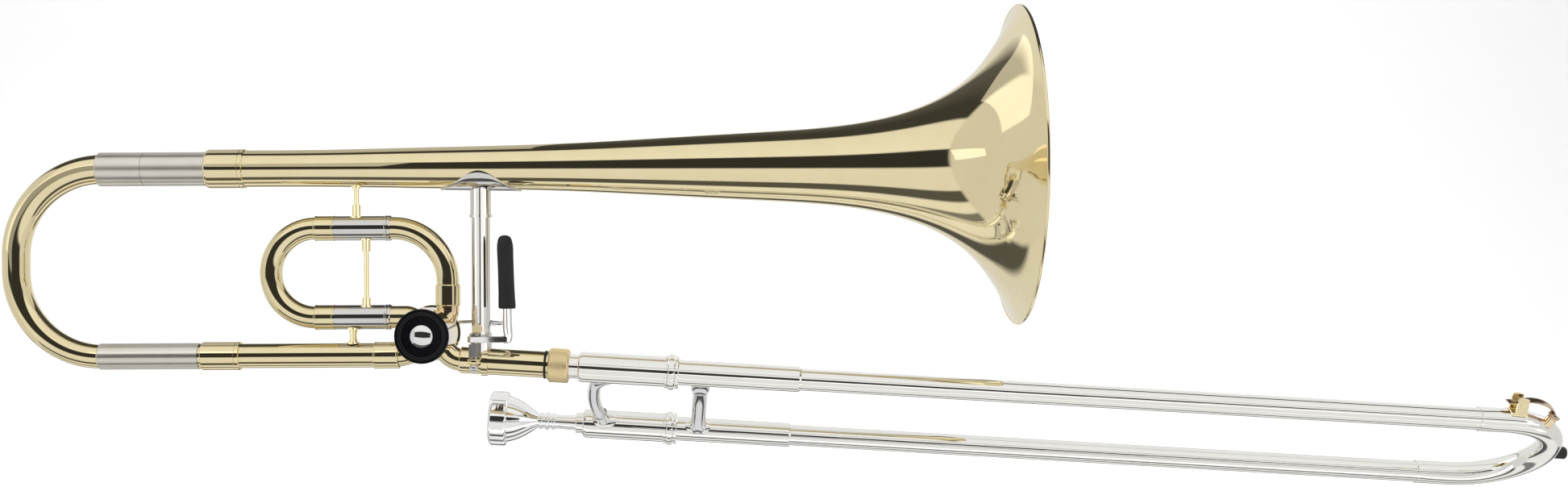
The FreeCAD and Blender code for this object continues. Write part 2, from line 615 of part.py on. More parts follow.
def inner_brace():
    """The curved grip between the two cork barrels."""
    points = [in_plane(88.0, -9.0), in_plane(71.5, -24.0), in_plane(71.0, -58.0),
              in_plane(76.5, -82.0)]
    grip = swept(bend_path(points, [14.0, 30.0]), 4.1)
    root = rod(in_plane(87.5, -8.0), in_plane(81.5, -15.0), 5.4)
    collar = rod(in_plane(74.3, -71.0), in_plane(74.9, -73.4), 4.7)
    upper = oval_pad(86.0, 0.0, 12.0, 7.0, -1)
    lower = oval_pad(77.5, -TUBE_SPACING, 8.5, 6.4, 1)
    grip = grip.fuse(root).fuse(collar).fuse(upper).fuse(lower)
    for height in (0.0, -TUBE_SPACING):
        grip = grip.cut(Part.makeCylinder(BARREL_R, 90, in_plane(50, height), X_AXIS))
    return largest(grip)


def oval_pad(x, height, half_length, half_width, side, barrel=BARREL_R):
    """An oval plate wrapped on a barrel, on its upper (1) or lower (-1) side."""
    shell = tube(x - half_length - 1, x + half_length + 1, barrel + 0.9, barrel, height)
    oval = Part.Ellipse(in_plane(x, height), half_length, half_width).toShape()
    column = Part.Face(Part.Wire([oval])).extrude(Vector(0, 0, side * (barrel + 3)))
    return shell.common(column)


def bulged_ring(height, bore):
    """A rounded ring at the mouth of a cork barrel."""
    high = BARREL_END - 0.1
    outline = [(119.9, bore), (119.9, 10.7), (120.4, 11.15), (121.2, RING_R - 0.08), (122.1, RING_R),
               (123.0, RING_R - 0.08), (123.8, 11.15), (high, 10.7), (high, bore)]
    return turned(outline, height)


def slide_lock_parts():
    return {"slide_lock_ring": bulged_ring(0.0, BARREL_R + FIT)}


def inner_slide_parts():
    tenon = turned([(18.0, 6.3), (18.0, RECEIVER_BORE - FIT), (52.0, RECEIVER_BORE - FIT),
                    (52.8, 7.8), (BARREL_X, 7.8), (BARREL_X, INNER_R), (56.0, INNER_R),
                    (56.0, 6.3)])
    low = -TUBE_SPACING
    lower_ring = bulged_ring(low, BARREL_R)
    socket = turned([(57.6, 6.2), (57.6, 6.8), (58.2, 7.1), (BARREL_X, 7.1), (BARREL_X, INNER_R),
                     (61.0, INNER_R), (61.0, 6.2)], low)
    leadpipe = turned([(57.9, SHANK_R + FIT), (57.9, 6.04), (240.0, 6.04), (240.0, 5.8),
                       (92.0, 5.0), (84.0, SHANK_R + FIT)], low)
    return {
        "slide_tenon": tenon,
        "cork_barrel_upper": cork_barrel(0.0),
        "cork_barrel_lower": cork_barrel(low),
        "lower_barrel_ring": lower_ring,
        "barrel_cork_upper": tube(66.0, 73.0, 8.9, INNER_R),
        "barrel_cork_lower": tube(66.0, 73.0, 8.9, INNER_R, low),
        "inner_tube_upper": inner_tube(56.0, 0.0),
        "inner_tube_lower": inner_tube(61.0, low),
        "mouthpiece_socket": socket,
        "leadpipe": leadpipe,
        "inner_slide_brace": inner_brace(),
    }


def slide_bow():
    outside = swept(bow_centre_line(), SLIDE_BOW_R)
    return outside.cut(swept(bow_centre_line(), SLIDE_BOW_R - 0.8))


def outer_slide_parts():
    low = -TUBE_SPACING
    parts = {
        "outer_tube_upper": tube(BARREL_END + 0.3, UPPER_TUBE_END, OUTER_R, OUTER_BORE),
        "outer_tube_lower": tube(BARREL_END + 0.3, LOWER_TUBE_END, OUTER_R, OUTER_BORE, low),
    }
    for name, height in (("upper", 0.0), ("lower", low)):
        outline = [(BARREL_END + 0.3, OUTER_R), (BARREL_END + 0.3, 10.3), (BARREL_END + 0.6, 10.6),
                   (SLEEVE_X - 0.5, 10.6), (SLEEVE_X, 10.2), (SLEEVE_X + 0.2, SLEEVE_R),
                   (SLEEVE_END - 1.0, SLEEVE_R), (SLEEVE_END, SLEEVE_R - 0.5), (SLEEVE_END, OUTER_R)]
        parts["outer_sleeve_" + name] = turned(outline, height)
    parts["bow_ferrule_upper"] = turned([(640.0, OUTER_R), (640.0, 7.55), (640.3, 7.8),
                                         (651.7, 7.8), (UPPER_TUBE_END, 7.7),
                                         (UPPER_TUBE_END, OUTER_R)])
    parts["bow_ferrule_lower"] = turned([(635.5, OUTER_R), (635.5, 7.55), (635.8, 7.8),
                                         (646.7, 7.8), (LOWER_TUBE_END, 7.7),
                                         (LOWER_TUBE_END, OUTER_R)], low)
    socket_end = -20.5
    grip = post(OUTER_BRACE_X, 0, 5.0, low + 7.0, -7.0)
    grip = grip.fuse(post(OUTER_BRACE_X, 0, 6.0, socket_end, -7.0))
    grip = grip.fuse(post(OUTER_BRACE_X, 0, 6.3, socket_end - 0.6, socket_end + 0.6))
    parts["outer_brace_pad_upper"] = largest(oval_pad(OUTER_BRACE_X, 0.0, 9.2, 6.2, -1, SLEEVE_R))
    parts["outer_brace_pad_lower"] = largest(oval_pad(OUTER_BRACE_X, low, 9.2, 6.2, 1, SLEEVE_R))
    for height in (0.0, low):
        grip = grip.cut(Part.makeCylinder(SLEEVE_R + 0.9, 60, in_plane(110, height), X_AXIS))
    parts["outer_brace_grip"] = largest(grip)
    outside = swept(bow_centre_line(), SLIDE_BOW_R)
    cup = rod(in_plane(SLIDE_BOW_X + 50, TUBE_MID), in_plane(713.2, TUBE_MID), 3.0).cut(outside)
    bumper = rod(in_plane(SLIDE_BOW_X + 50, TUBE_MID), in_plane(BUMPER_TIP, TUBE_MID), 4.1)
    bumper = bumper.makeFillet(1.4, [edge for edge in bumper.Edges
                                     if abs(edge.BoundBox.XMin - BUMPER_TIP) < 0.01][:1])
    bumper = largest(bumper.cut(outside).cut(cup))
    parts["bumper_cup"] = largest(cup)
    parts["bumper"] = bumper
    parts["slide_bow"] = slide_bow().cut(drain_hole())
    parts["drain_nipple"] = drain_nipple()
    parts["water_key_saddle"] = key_saddle()
    parts["water_key_spring"] = key_spring()
    return parts


def bow_centre_line():
    half = TUBE_SPACING / 2 - 0.01
    turn_x = SLIDE_BOW_X + TUBE_SPACING / 2
    return bend_path([in_plane(UPPER_TUBE_END, 0), in_plane(turn_x, 0),
                      in_plane(turn_x, -TUBE_SPACING), in_plane(LOWER_TUBE_END, -TUBE_SPACING)],
                     [half, half])


def nipple_axis():
    """Points on the drain's axis, by distance out from the bow's centre line."""
    turn = math.radians(KEY_ANGLE)
    out = in_plane(math.cos(turn), math.sin(turn))
    centre = in_plane(SLIDE_BOW_X, TUBE_MID)
    return lambda distance: centre + out * (TUBE_SPACING / 2 + distance)


def rolled(shape):
    """The water key is drawn in the slide's plane and then turned round the upper tube."""
    return shape.rotate(ORIGIN, X_AXIS, KEY_ROLL)


def drain_hole():
    drain = nipple_axis()
    return rolled(rod(drain(SLIDE_BOW_R - 3.0), drain(SLIDE_BOW_R + 5.0), 1.7))


def drain_nipple():
    drain = nipple_axis()
    nipple = rolled(rod(drain(SLIDE_BOW_R - 2.5), drain(SLIDE_BOW_R + 3.4), 3.3))
    return largest(nipple.cut(swept(bow_centre_line(), SLIDE_BOW_R)).cut(drain_hole()))


def key_saddle():
    """Two ears on the bow that hold the water key's pin."""
    x, z = KEY_PIVOT_X, KEY_PIVOT_Z
    top = z + 3.2
    outline = [(x - 4.2, 5.0), (x + 5.4, 4.0), (x + 4.0, 8.6), (x + 3.7, top - 1.2), (x + 2.6, top),
               (x - 2.8, top), (x - 3.9, top - 1.2)]
    foot = rolled(Part.makeBox(13, 10, 12, Vector(x - 5.6, -5.0, 0)))
    saddle = swept(bow_centre_line(), SLIDE_BOW_R + 0.8).common(foot)
    for low, high in ((-5.0, -3.6), (3.6, 5.0)):
        saddle = saddle.fuse(rolled(plate(outline, low, high)))
    saddle = saddle.cut(swept(bow_centre_line(), SLIDE_BOW_R))
    saddle = saddle.cut(Part.makeCylinder(SLIDE_BOW_R, 20, in_plane(UPPER_TUBE_END, 0), X_AXIS))
    pin = rolled(drum(x, z, 1.0, -5.6, 5.6))
    return largest(saddle.fuse(pin).removeSplitter())


def key_spring():
    coil = drum(KEY_PIVOT_X, KEY_PIVOT_Z, 1.9, -3.4, -0.4)
    return rolled(coil.cut(drum(KEY_PIVOT_X, KEY_PIVOT_Z, 1.2, -4, 0)))


def water_key_parts():
    """A rocking lever: finger plate on one side of the pin, hood and cork cup on the other."""
    x, z = KEY_PIVOT_X, KEY_PIVOT_Z
    drain = nipple_axis()
    cup_low = drain(SLIDE_BOW_R + 4.9)
    cup_high = drain(SLIDE_BOW_R + 6.6)
    cork = rod(drain(SLIDE_BOW_R + 3.45), cup_low, 3.0)
    cup = rod(cup_low, cup_high, 3.9)
    barrel = drum(x, z, 2.1, 0.0, 3.3)
    hood = plate([(x + 1.0, z + 1.0), (x + 5.0, z + 2.6), (x + 10.0, z + 3.0), (x + 16.0, z + 1.6),
                  (x + 21.0, z - 1.8), (x + 24.4, z - 6.6), (x + 25.0, z - 9.6), (x + 23.4, z - 9.4),
                  (x + 20.4, z - 3.4), (x + 15.4, z - 0.2), (x + 10.0, z + 1.2), (x + 5.0, z + 0.8),
                  (x + 1.6, z - 1.0)], -3.4, 3.4)
    clearance = drum(x, z, 2.3, -8, 0)
    finger = plate([(x - 1.0, z - 1.0), (x - 4.6, z - 1.6), (x - 13.0, z - 2.6), (x - 13.2, z - 1.7),
                    (x - 4.8, z - 0.6), (x - 1.4, z + 0.8)], -3.3, 3.3)
    key = barrel.fuse(hood.cut(clearance)).fuse(finger.cut(clearance)).fuse(cup)
    key = key.cut(drum(x, z, 1.0 + FIT, -6, 6))
    key = key.cut(rod(drain(SLIDE_BOW_R + 2.0), cup_low, 3.2))
    return {"water_key_lever": rolled(largest(key.removeSplitter())), "water_key_cork": rolled(cork)}


def mouthpiece_parts():
    low = -TUBE_SPACING
    start = MOUTHPIECE_X
    outline = [(start, 14.6), (start + 0.3, 16.4), (start + 1.2, 18.0), (start + 2.4, MOUTHPIECE_R),
               (start + 11.0, MOUTHPIECE_R), (start + 12.2, 18.1), (start + 12.9, 16.9),
               (start + 13.1, 15.2), (start + 16.5, 14.5), (start + 20.0, 13.4), (start + 24.0, 11.6),
               (start + 28.0, 9.2), (start + 31.0, 7.0), (start + 33.0, 5.4), (start + 34.0, 5.0),
               (start + 34.6, 5.9), (start + 36.2, 5.9), (start + 36.8, 5.0), (start + 38.0, 5.2),
               (start + 38.8, 6.3), (start + 40.6, 6.3), (start + 41.4, 5.2), (start + 42.6, 5.0),
               (start + 43.2, 5.7), (start + 44.6, 5.7), (start + 45.2, 4.8), (57.2, SHANK_R),
               (80.0, SHANK_R - 0.05), (80.0, 4.7), (50.0, 3.4), (31.0, 3.3), (27.0, 4.4),
               (20.0, 8.4), (12.0, 11.6), (start + 3.0, 12.7), (start + 0.6, 13.8)]
    return {"mouthpiece": turned(outline, low)}


# ---- assembly -------------------------------------------------------------------
def bell_section():
    parts = bell_parts()
    parts.update(tuning_slide_parts())
    parts.update(neck_parts())
    parts.update(valve_slide_parts())
    parts.update(valve_loop_parts())
    parts.update(rotor_casing_parts())
    parts.update(rotor_cap_parts())
    parts.update(rotor_parts())
    parts.update(brass_braces(parts["bell"]))
    parts.update(bell_brace_parts())
    parts.update(thumb_lever_parts())
    parts.update(link_parts())
    parts.update(brace_screw_parts())
    return parts


def slide_section():
    parts = lock_nut_parts()
    parts.update(inner_slide_parts())
    parts.update(slide_lock_parts())
    parts.update(outer_slide_parts())
    parts.update(water_key_parts())
    parts.update(mouthpiece_parts())
    return parts


# Like pieces of one body that share a node, each still its own solid.
SHARED_NODES = {
    "tuning_bow_ferrules": ["tuning_bow_ferrule_upper", "tuning_bow_ferrule_lower"],
    "tuning_legs": ["tuning_leg_upper", "tuning_leg_lower"],
    "section_ferrules": ["bell_tail_ferrule", "neck_rear_ferrule", "neck_front_ferrule",
                         "loop_drop_ferrule"],
    "valve_slide_ferrules": ["valve_slide_ferrule_upper", "valve_slide_ferrule_lower"],
    "valve_slide_legs": ["valve_slide_leg_upper", "valve_slide_leg_lower"],
    "loop_sleeves": ["loop_sleeve_upper", "loop_sleeve_lower"],
    "rotor_knuckles": ["knuckle_neck", "knuckle_loop_in", "knuckle_receiver"],
    "bearing_plates": ["bearing_plate_front", "bearing_plate_back"],
    "rotor_cap_trim": ["rotor_cap_ring_inner", "rotor_cap_ring_outer", "rotor_cap_button"],
    "loop_braces": ["brace_bell_to_loop", "brace_across_loop", "brace_loop_to_neck"],
    "bell_brace_sockets": ["bell_brace_socket", "bell_brace_foot"],
    "cork_barrels": ["cork_barrel_upper", "cork_barrel_lower", "lower_barrel_ring"],
    "barrel_corks": ["barrel_cork_upper", "barrel_cork_lower"],
    "inner_tubes": ["inner_tube_upper", "inner_tube_lower"],
    "outer_tubes": ["outer_tube_upper", "outer_tube_lower"],
    "outer_sleeves": ["outer_sleeve_upper", "outer_sleeve_lower"],
    "slide_bow_ferrules": ["bow_ferrule_upper", "bow_ferrule_lower"],
    "outer_brace_pads": ["outer_brace_pad_upper", "outer_brace_pad_lower"],
    "stop_bumpers": ["stop_bumper_rest", "stop_bumper_pressed"],
}


def share_nodes(parts):
    """Put each group of like pieces into one node."""
    for name, members in SHARED_NODES.items():
        parts[name] = Part.Compound([parts.pop(member) for member in members])
    return parts


def all_parts():
    parts = {}
    leant = bell_section()
    leant.update(lever_bracket_parts())
    for name, shape in leant.items():
        parts[name] = shape.rotate(ORIGIN, Y_AXIS, -BELL_LEAN)
    for name, shape in slide_section().items():
        parts[name] = shape.rotate(ORIGIN, X_AXIS, SLIDE_TURN)
    parts.update(receiver_parts())
    return share_nodes(parts)


def export_all():
    os.makedirs("parts", exist_ok=True)
    for name, shape in all_parts().items():
        shape.exportStep("parts/" + name + ".step")


export_all()
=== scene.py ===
import json
import math

import bpy
from mathutils import Matrix, Vector


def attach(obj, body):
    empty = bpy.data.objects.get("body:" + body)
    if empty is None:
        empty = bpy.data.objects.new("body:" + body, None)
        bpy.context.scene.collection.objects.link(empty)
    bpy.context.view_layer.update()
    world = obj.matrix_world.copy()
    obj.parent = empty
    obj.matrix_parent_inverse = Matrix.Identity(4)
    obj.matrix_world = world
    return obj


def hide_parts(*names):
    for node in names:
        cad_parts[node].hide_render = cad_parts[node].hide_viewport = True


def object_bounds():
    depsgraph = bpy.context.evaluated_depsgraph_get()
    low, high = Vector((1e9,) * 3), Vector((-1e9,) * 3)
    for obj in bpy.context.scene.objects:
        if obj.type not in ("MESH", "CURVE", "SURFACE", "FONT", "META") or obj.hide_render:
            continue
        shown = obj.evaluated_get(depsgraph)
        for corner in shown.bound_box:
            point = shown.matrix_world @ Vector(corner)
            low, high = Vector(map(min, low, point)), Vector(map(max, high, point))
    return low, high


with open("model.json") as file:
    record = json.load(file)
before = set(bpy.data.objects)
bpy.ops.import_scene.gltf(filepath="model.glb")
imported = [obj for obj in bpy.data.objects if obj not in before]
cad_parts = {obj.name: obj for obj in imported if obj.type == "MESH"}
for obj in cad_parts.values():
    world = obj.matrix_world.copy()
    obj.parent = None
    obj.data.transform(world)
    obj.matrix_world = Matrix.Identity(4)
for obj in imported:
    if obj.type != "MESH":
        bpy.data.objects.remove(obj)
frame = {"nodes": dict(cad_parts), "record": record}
CAD_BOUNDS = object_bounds()

# The bell section leans back from the slide by this angle, and the slide's plane is
# turned out of the bell's by the other one. Both are the CAD model's own angles.
BELL_LEAN = math.radians(3.6)
SLIDE_TURN = math.radians(60.2)
LEANT = Matrix.Rotation(-BELL_LEAN, 4, "Y")
TURNED = Matrix.Rotation(SLIDE_TURN, 4, "X")
MM = 0.001

# Driving dimensions of the pieces that are drawn again here, in millimetres. The bell
# section is drawn upright and then leant back. The slide section is drawn with its tubes
# one above the other and then turned.

# bell
NECK_AXIS = 4.0
BELL_AXIS = 124.0
RIM_X = 343.3
RIM_R = 101.2
RIM_WIRE_R = 1.1
BELL_WALL = 0.9

# main tuning slide
BOW_X = -243.0
BOW_CORNER = 55.0
BOW_START = -225.0
BOW_UPPER_R = 9.55
BOW_LOWER_R = 7.6
BOW_WALL = 0.8

# valve loop
LOOP_UPPER = 85.5
LOOP_LOWER = 28.5
LOOP_BEND_X = -106.0
LOOP_SLIDE_X = -100.0
LOOP_TOP_X = -61.0
LOOP_R = 7.15
LOOP_WALL = 0.7
LOOP_DROP_X = -21.2
LOOP_DROP_BEND = 34.8
LOOP_DROP_END = 45.0

# receiver and thumb lever
RECEIVER_R = 8.5
POST_X = -2.8
POST_Y = -14.0
POST_R = 1.9
POST_TOP = 18.5
LEVER_LOW = 12.5
LEVER_HIGH = 16.7
LEVER_ROD_X = 18.6
LEVER_ROD_Y = -16.0
GRIP_LOW = 34.0
GRIP_HIGH = 80.5
GRIP_LEAN = 0.03
LINK_Y = 25.0
LINK_Z = 23.4
LINK_PIN_X = 3.2

# hand slide and mouthpiece
TUBE_SPACING = 90.0
BARREL_R = 9.8
SLEEVE_R = 8.2
OUTER_BRACE_X = 141.4
NUT_START = 43.2
NUT_END = 56.6
SLIDE_BOW_R = 7.75
SLIDE_BOW_WALL = 0.8
SLIDE_BOW_X = 658.0
UPPER_FERRULE = 640.0
LOWER_FERRULE = 635.5
UPPER_TUBE_END = 652.0
LOWER_TUBE_END = 647.0
MOUTHPIECE_X = -1.8
MOUTHPIECE_R = 18.7
SHANK_R = 5.25

# water key, drawn on top of the upper tube and then rolled round it
KEY_PIVOT_X = 664.8
KEY_PIVOT_Z = 13.2
KEY_ANGLE = math.radians(59.0)
KEY_ROLL = math.radians(-40.0)
KEY_ROLLED = TURNED @ Matrix.Rotation(KEY_ROLL, 4, "X")
EAR_INNER = 3.65
EAR_OUTER = 4.95


# ---- camera ---------------------------------------------------------------------
CAMERA_PLACE = (0.1366, -1.06, 0.0821)
CAMERA_ROLL = math.radians(3.32)
CAMERA_LENS = 37.94
CAMERA_SENSOR = 36.0
CAMERA_SHIFT = 0.0527


def make_camera():
    """A camera square to the bell's plane, rolled so that the slide dips to the right."""
    right = Vector((math.cos(CAMERA_ROLL), 0.0, math.sin(CAMERA_ROLL)))
    up = Vector((-math.sin(CAMERA_ROLL), 0.0, math.cos(CAMERA_ROLL)))
    back = right.cross(up)
    turn = Matrix((right, up, back)).transposed().to_4x4()
    data = bpy.data.cameras.new("camera")
    data.lens = CAMERA_LENS
    data.sensor_width = CAMERA_SENSOR
    data.shift_x = CAMERA_SHIFT
    camera = bpy.data.objects.new("camera", data)
    camera.matrix_world = Matrix.Translation(CAMERA_PLACE) @ turn
    bpy.context.collection.objects.link(camera)
    bpy.context.scene.camera = camera


# ---- light and floor ------------------------------------------------------------
def area_light(name, place, aim, size, power):
    """A rectangular lamp at a place, turned to face its aim."""
    data = bpy.data.lights.new(name, "AREA")
    data.shape = "RECTANGLE"
    data.size, data.size_y = size
    data.energy = power
    light = bpy.data.objects.new(name, data)
    light.location = place
    light.rotation_euler = (Vector(aim) - Vector(place)).to_track_quat("-Z", "Y").to_euler()
    bpy.context.collection.objects.link(light)
    return light


def soft_lamp(name, place, aim, size, power):
    """A lamp that lights the dull surfaces and the floor, and isn't seen in the metal."""
    area_light(name, place, aim, size, power).visible_glossy = False


def card(name, place, size, brightness, receivers, facing=(0.0, 1.0, 0.0), tilt=0.0):
    """A white card that only the polished pieces of one group see."""
    power = brightness * math.pi * size[0] * size[1]
    panel = area_light(name, place, Vector(place) + Vector(facing), size, power)
    panel.rotation_euler.rotate_axis("Z", math.radians(tilt))
    panel.visible_camera = False
    panel.visible_diffuse = False
    panel.light_linking.receiver_collection = receivers


def group(name, belongs):
    """The pieces that a test of (piece, body) picks, as a collection for light linking."""
    collection = bpy.data.collections.new(name)
    for item, body in PIECES:
        if belongs(item, body):
            collection.objects.link(item)
    return collection


# What a polished tube sees around its own length: (angle, brightness) from straight behind
# the camera, 0, up over the top to 180 and down under the bottom to -180.
STUDIO_BANDS = [
    (-180, 0.80), (-152, 0.75), (-148, 0.10), (-136, 0.10), (-132, 0.85), (-111, 0.90),
    (-108, 0.22), (-97, 0.22), (-94, 0.88), (-79, 0.88), (-75, 0.10), (-58, 0.10), (-55, 0.82),
    (-12, 0.84), (-8, 0.035), (26, 0.035), (29, 0.93), (84, 0.86), (89, 0.05), (114, 0.05),
    (148, 0.11), (156, 0.80), (180, 0.80),
]
SIDE_TONE = 0.72
SIDE_EDGE = 0.73
SIDE_BLEND = 0.03
PAPER = (0.96, 0.96, 0.96, 1.0)


def make_sky():
    """Soft boxes and black flags as bands around the slide's length, with a plain panel at each end.

    Only reflections and dull surfaces get them. The camera sees plain pale paper past the floor.
    """
    world = bpy.data.worlds.new("studio")
    world.use_nodes = True
    tree = world.node_tree
    coords = tree.nodes.new("ShaderNodeTexCoord")
    axes = tree.nodes.new("ShaderNodeSeparateXYZ")
    tree.links.new(coords.outputs["Generated"], axes.inputs["Vector"])
    front = tree.nodes.new("ShaderNodeMath")
    front.operation = "MULTIPLY"
    front.inputs[1].default_value = -1.0
    tree.links.new(axes.outputs["Y"], front.inputs[0])
    around = tree.nodes.new("ShaderNodeMath")
    around.operation = "ARCTAN2"
    tree.links.new(axes.outputs["Z"], around.inputs[0])
    tree.links.new(front.outputs["Value"], around.inputs[1])
    place = tree.nodes.new("ShaderNodeMapRange")
    place.inputs["From Min"].default_value = -math.pi
    place.inputs["From Max"].default_value = math.pi
    tree.links.new(around.outputs["Value"], place.inputs["Value"])
    bands = tree.nodes.new("ShaderNodeValToRGB")
    stops = bands.color_ramp.elements
    for index, (angle, brightness) in enumerate(STUDIO_BANDS):
        position = (angle + 180) / 360
        stop = stops[index] if index < len(stops) else stops.new(position)
        stop.position = position
        stop.color = (brightness, brightness, brightness, 1.0)
    tree.links.new(place.outputs["Result"], bands.inputs["Fac"])
    sideways = tree.nodes.new("ShaderNodeMath")
    sideways.operation = "ABSOLUTE"
    tree.links.new(axes.outputs["X"], sideways.inputs[0])
    side = tree.nodes.new("ShaderNodeMapRange")
    side.inputs["From Min"].default_value = SIDE_EDGE
    side.inputs["From Max"].default_value = SIDE_EDGE + SIDE_BLEND
    tree.links.new(sideways.outputs["Value"], side.inputs["Value"])
    mix = tree.nodes.new("ShaderNodeMix")
    mix.data_type = "RGBA"
    mix.inputs["B"].default_value = (SIDE_TONE, SIDE_TONE, SIDE_TONE, 1.0)
    tree.links.new(side.outputs["Result"], mix.inputs["Factor"])
    tree.links.new(bands.outputs["Color"], mix.inputs["A"])
    seen = tree.nodes.new("ShaderNodeMix")
    seen.data_type = "RGBA"
    seen.inputs["B"].default_value = PAPER
    path = tree.nodes.new("ShaderNodeLightPath")
    tree.links.new(path.outputs["Is Camera Ray"], seen.inputs["Factor"])
    tree.links.new(mix.outputs["Result"], seen.inputs["A"])
    tree.links.new(seen.outputs["Result"], tree.nodes["Background"].inputs["Color"])
    bpy.context.scene.world = world


# The cards in front of the instrument stand at this y, in metres.
CARD_Y = -0.40
UP = (0.0, 0.0, 1.0)
DOWN = (0.0, 0.0, -1.0)

# The fill under the hand slide's dark line is a row of cards from left to right. They stand on
# one lower edge, and their upper edges rise in steps up to a limit.
FILL_LOW = -0.100
FILL_STEPS = 18
FILL_START = -0.22
FILL_WIDTH = 0.10
FILL_FIRST_TOP = -0.125
FILL_RISE = 0.017
FILL_LEAST = 0.004
FILL_MOST_TOP = 0.032

SLIDE_BODIES = {"inner_slide", "outer_slide", "slide_lock", "mouthpiece", "lock_nut"}
GRIPS = {"inner_brace_grip", "outer_brace_bar"}
UPRIGHTS = {"bell_brace_pillar", "bell_brace_sockets", "loop_braces", "lever_bar"}
TAIL = {"bell_flare", "section_ferrules", "tuning_sleeve", "tuning_bow_ferrules"}
BOW = {"tuning_bow_tube", "tuning_sleeve", "tuning_bow_ferrules"}


def make_slide_cards():
    """Cards round the hand slide, and a dim one for its two grips."""
    slide = group("slide_receivers", lambda item, body: body in SLIDE_BODIES and item.name not in GRIPS)
    card("slide_upper", (0.40, CARD_Y, 0.134), (1.9, 0.112), 0.84, slide)
    for step in range(FILL_STEPS):
        top = max(FILL_LOW + FILL_LEAST, FILL_FIRST_TOP + FILL_RISE * step)
        top = min(FILL_MOST_TOP, top)
        middle = FILL_START + FILL_WIDTH * step + FILL_WIDTH / 2
        place = (middle, CARD_Y, (FILL_LOW + top) / 2)
        card("slide_fill_%d" % step, place, (FILL_WIDTH, top - FILL_LOW), 0.74, slide)
    card("slide_under", (0.35, -0.22, -0.45), (2.4, 0.22), 0.72, slide, UP)
    card("slide_behind", (0.40, 0.47, 0.45), (2.4, 0.82), 0.80, slide, DOWN)
    grips = group("grip_receivers", lambda item, body: item.name in GRIPS)
    card("grip_card", (0.30, CARD_Y, -0.02), (0.75, 0.80), 0.11, grips)


def make_bell_cards():
    """Cards for the upright rods, the brace's screw, and the tail and bow of the bell section."""
    upright = group("upright_receivers", lambda item, body: item.name in UPRIGHTS)
    card("upright_left", (-0.52, CARD_Y, 0.05), (0.90, 1.4), 1.0, upright)
    card("upright_right", (0.46, CARD_Y, 0.05), (0.86, 1.4), 1.25, upright)
    screw = group("screw_receivers", lambda item, body: item.name == "brace_screw")
    card("screw_card", (-0.05, CARD_Y, 0.0), (0.09, 0.09), 0.60, screw)
    tail = group("tail_receivers", lambda item, body: item.name in TAIL)
    card("tail_card", (-0.66, CARD_Y, 0.275), (1.0, 0.15), 0.52, tail, tilt=-4.0)
    card("tail_top", (-0.60, 0.35, 0.50), (1.1, 0.5), 0.45, tail, DOWN)
    bow = group("bow_receivers", lambda item, body: item.name in BOW)
    card("bow_card", (-1.00, CARD_Y, 0.19), (1.2, 0.34), 0.34, bow)


def make_studio():
    """Three broad lamps and the banded surroundings."""
    middle = (0.2, 0.0, 0.05)
    soft_lamp("key", (-0.4, -1.6, 1.6), middle, (2.4, 1.2), 42.0)
    soft_lamp("fill", (1.6, -1.7, 0.6), middle, (1.0, 2.0), 22.0)
    soft_lamp("top", (0.2, 0.3, 2.0), middle, (2.6, 1.6), 40.0)
    make_sky()
    bpy.context.scene.view_settings.view_transform = "Standard"


FLOOR_DROP = 0.12
FLOOR_SIDES = (-4.0, 4.5)
FLOOR_FRONT = -3.0
FLOOR_BACK = 2.6
FLOOR_HEIGHT = 3.0
FLOOR_BEND = 0.8
FLOOR_TONE = (0.94, 0.94, 0.94, 1.0)


def floor_material():
    """Matt pale paper that is clear when seen from its back, so that it hides no view."""
    material, tree, shader = blank_material("pale_floor")
    shader.inputs["Base Color"].default_value = FLOOR_TONE
    shader.inputs["Roughness"].default_value = 0.9
    shader.inputs["Specular IOR Level"].default_value = 0.0
    clear = tree.nodes.new("ShaderNodeBsdfTransparent")
    side = tree.nodes.new("ShaderNodeNewGeometry")
    mix = tree.nodes.new("ShaderNodeMixShader")
    tree.links.new(side.outputs["Backfacing"], mix.inputs["Fac"])
    tree.links.new(shader.outputs["BSDF"], mix.inputs[1])
    tree.links.new(clear.outputs["BSDF"], mix.inputs[2])
    tree.links.new(mix.outputs["Shader"], tree.nodes["Material Output"].inputs["Surface"])
    return material


def make_floor():
    """A pale floor that curves up into a backdrop."""
    low = CAD_BOUNDS[0][2] - FLOOR_DROP
    bend_y = FLOOR_BACK - FLOOR_BEND
    outline = [(FLOOR_FRONT, low), (bend_y, low)]
    steps = 12
    for step in range(1, steps + 1):
        angle = math.radians(90 * step / steps)
        rise = low + FLOOR_BEND - FLOOR_BEND * math.cos(angle)
        outline.append((bend_y + FLOOR_BEND * math.sin(angle), rise))
    outline.append((FLOOR_BACK, low + FLOOR_HEIGHT))
    verts = [(x, y, z) for y, z in outline for x in FLOOR_SIDES]
    faces = [(2 * i, 2 * i + 1, 2 * i + 3, 2 * i + 2) for i in range(len(outline) - 1)]
    mesh = bpy.data.meshes.new("floor")
    mesh.from_pydata(verts, [], faces)
    mesh.shade_smooth()
    mesh.materials.append(floor_material())
    floor = bpy.data.objects.new("floor", mesh)
    floor.visible_glossy = False
    bpy.context.collection.objects.link(floor)


# ---- materials ------------------------------------------------------------------
CLOUD_SCALE = 60.0
POLISH_SPREAD = 0.03
BEST_POLISH = 0.02
GRAIN_SCALE = 900.0
GRAIN_DEPTH = 0.0002


def blank_material(name):
    """A new node material with its tree and its main shader."""
    material = bpy.data.materials.new(name)
    material.use_nodes = True
    return material, material.node_tree, material.node_tree.nodes["Principled BSDF"]


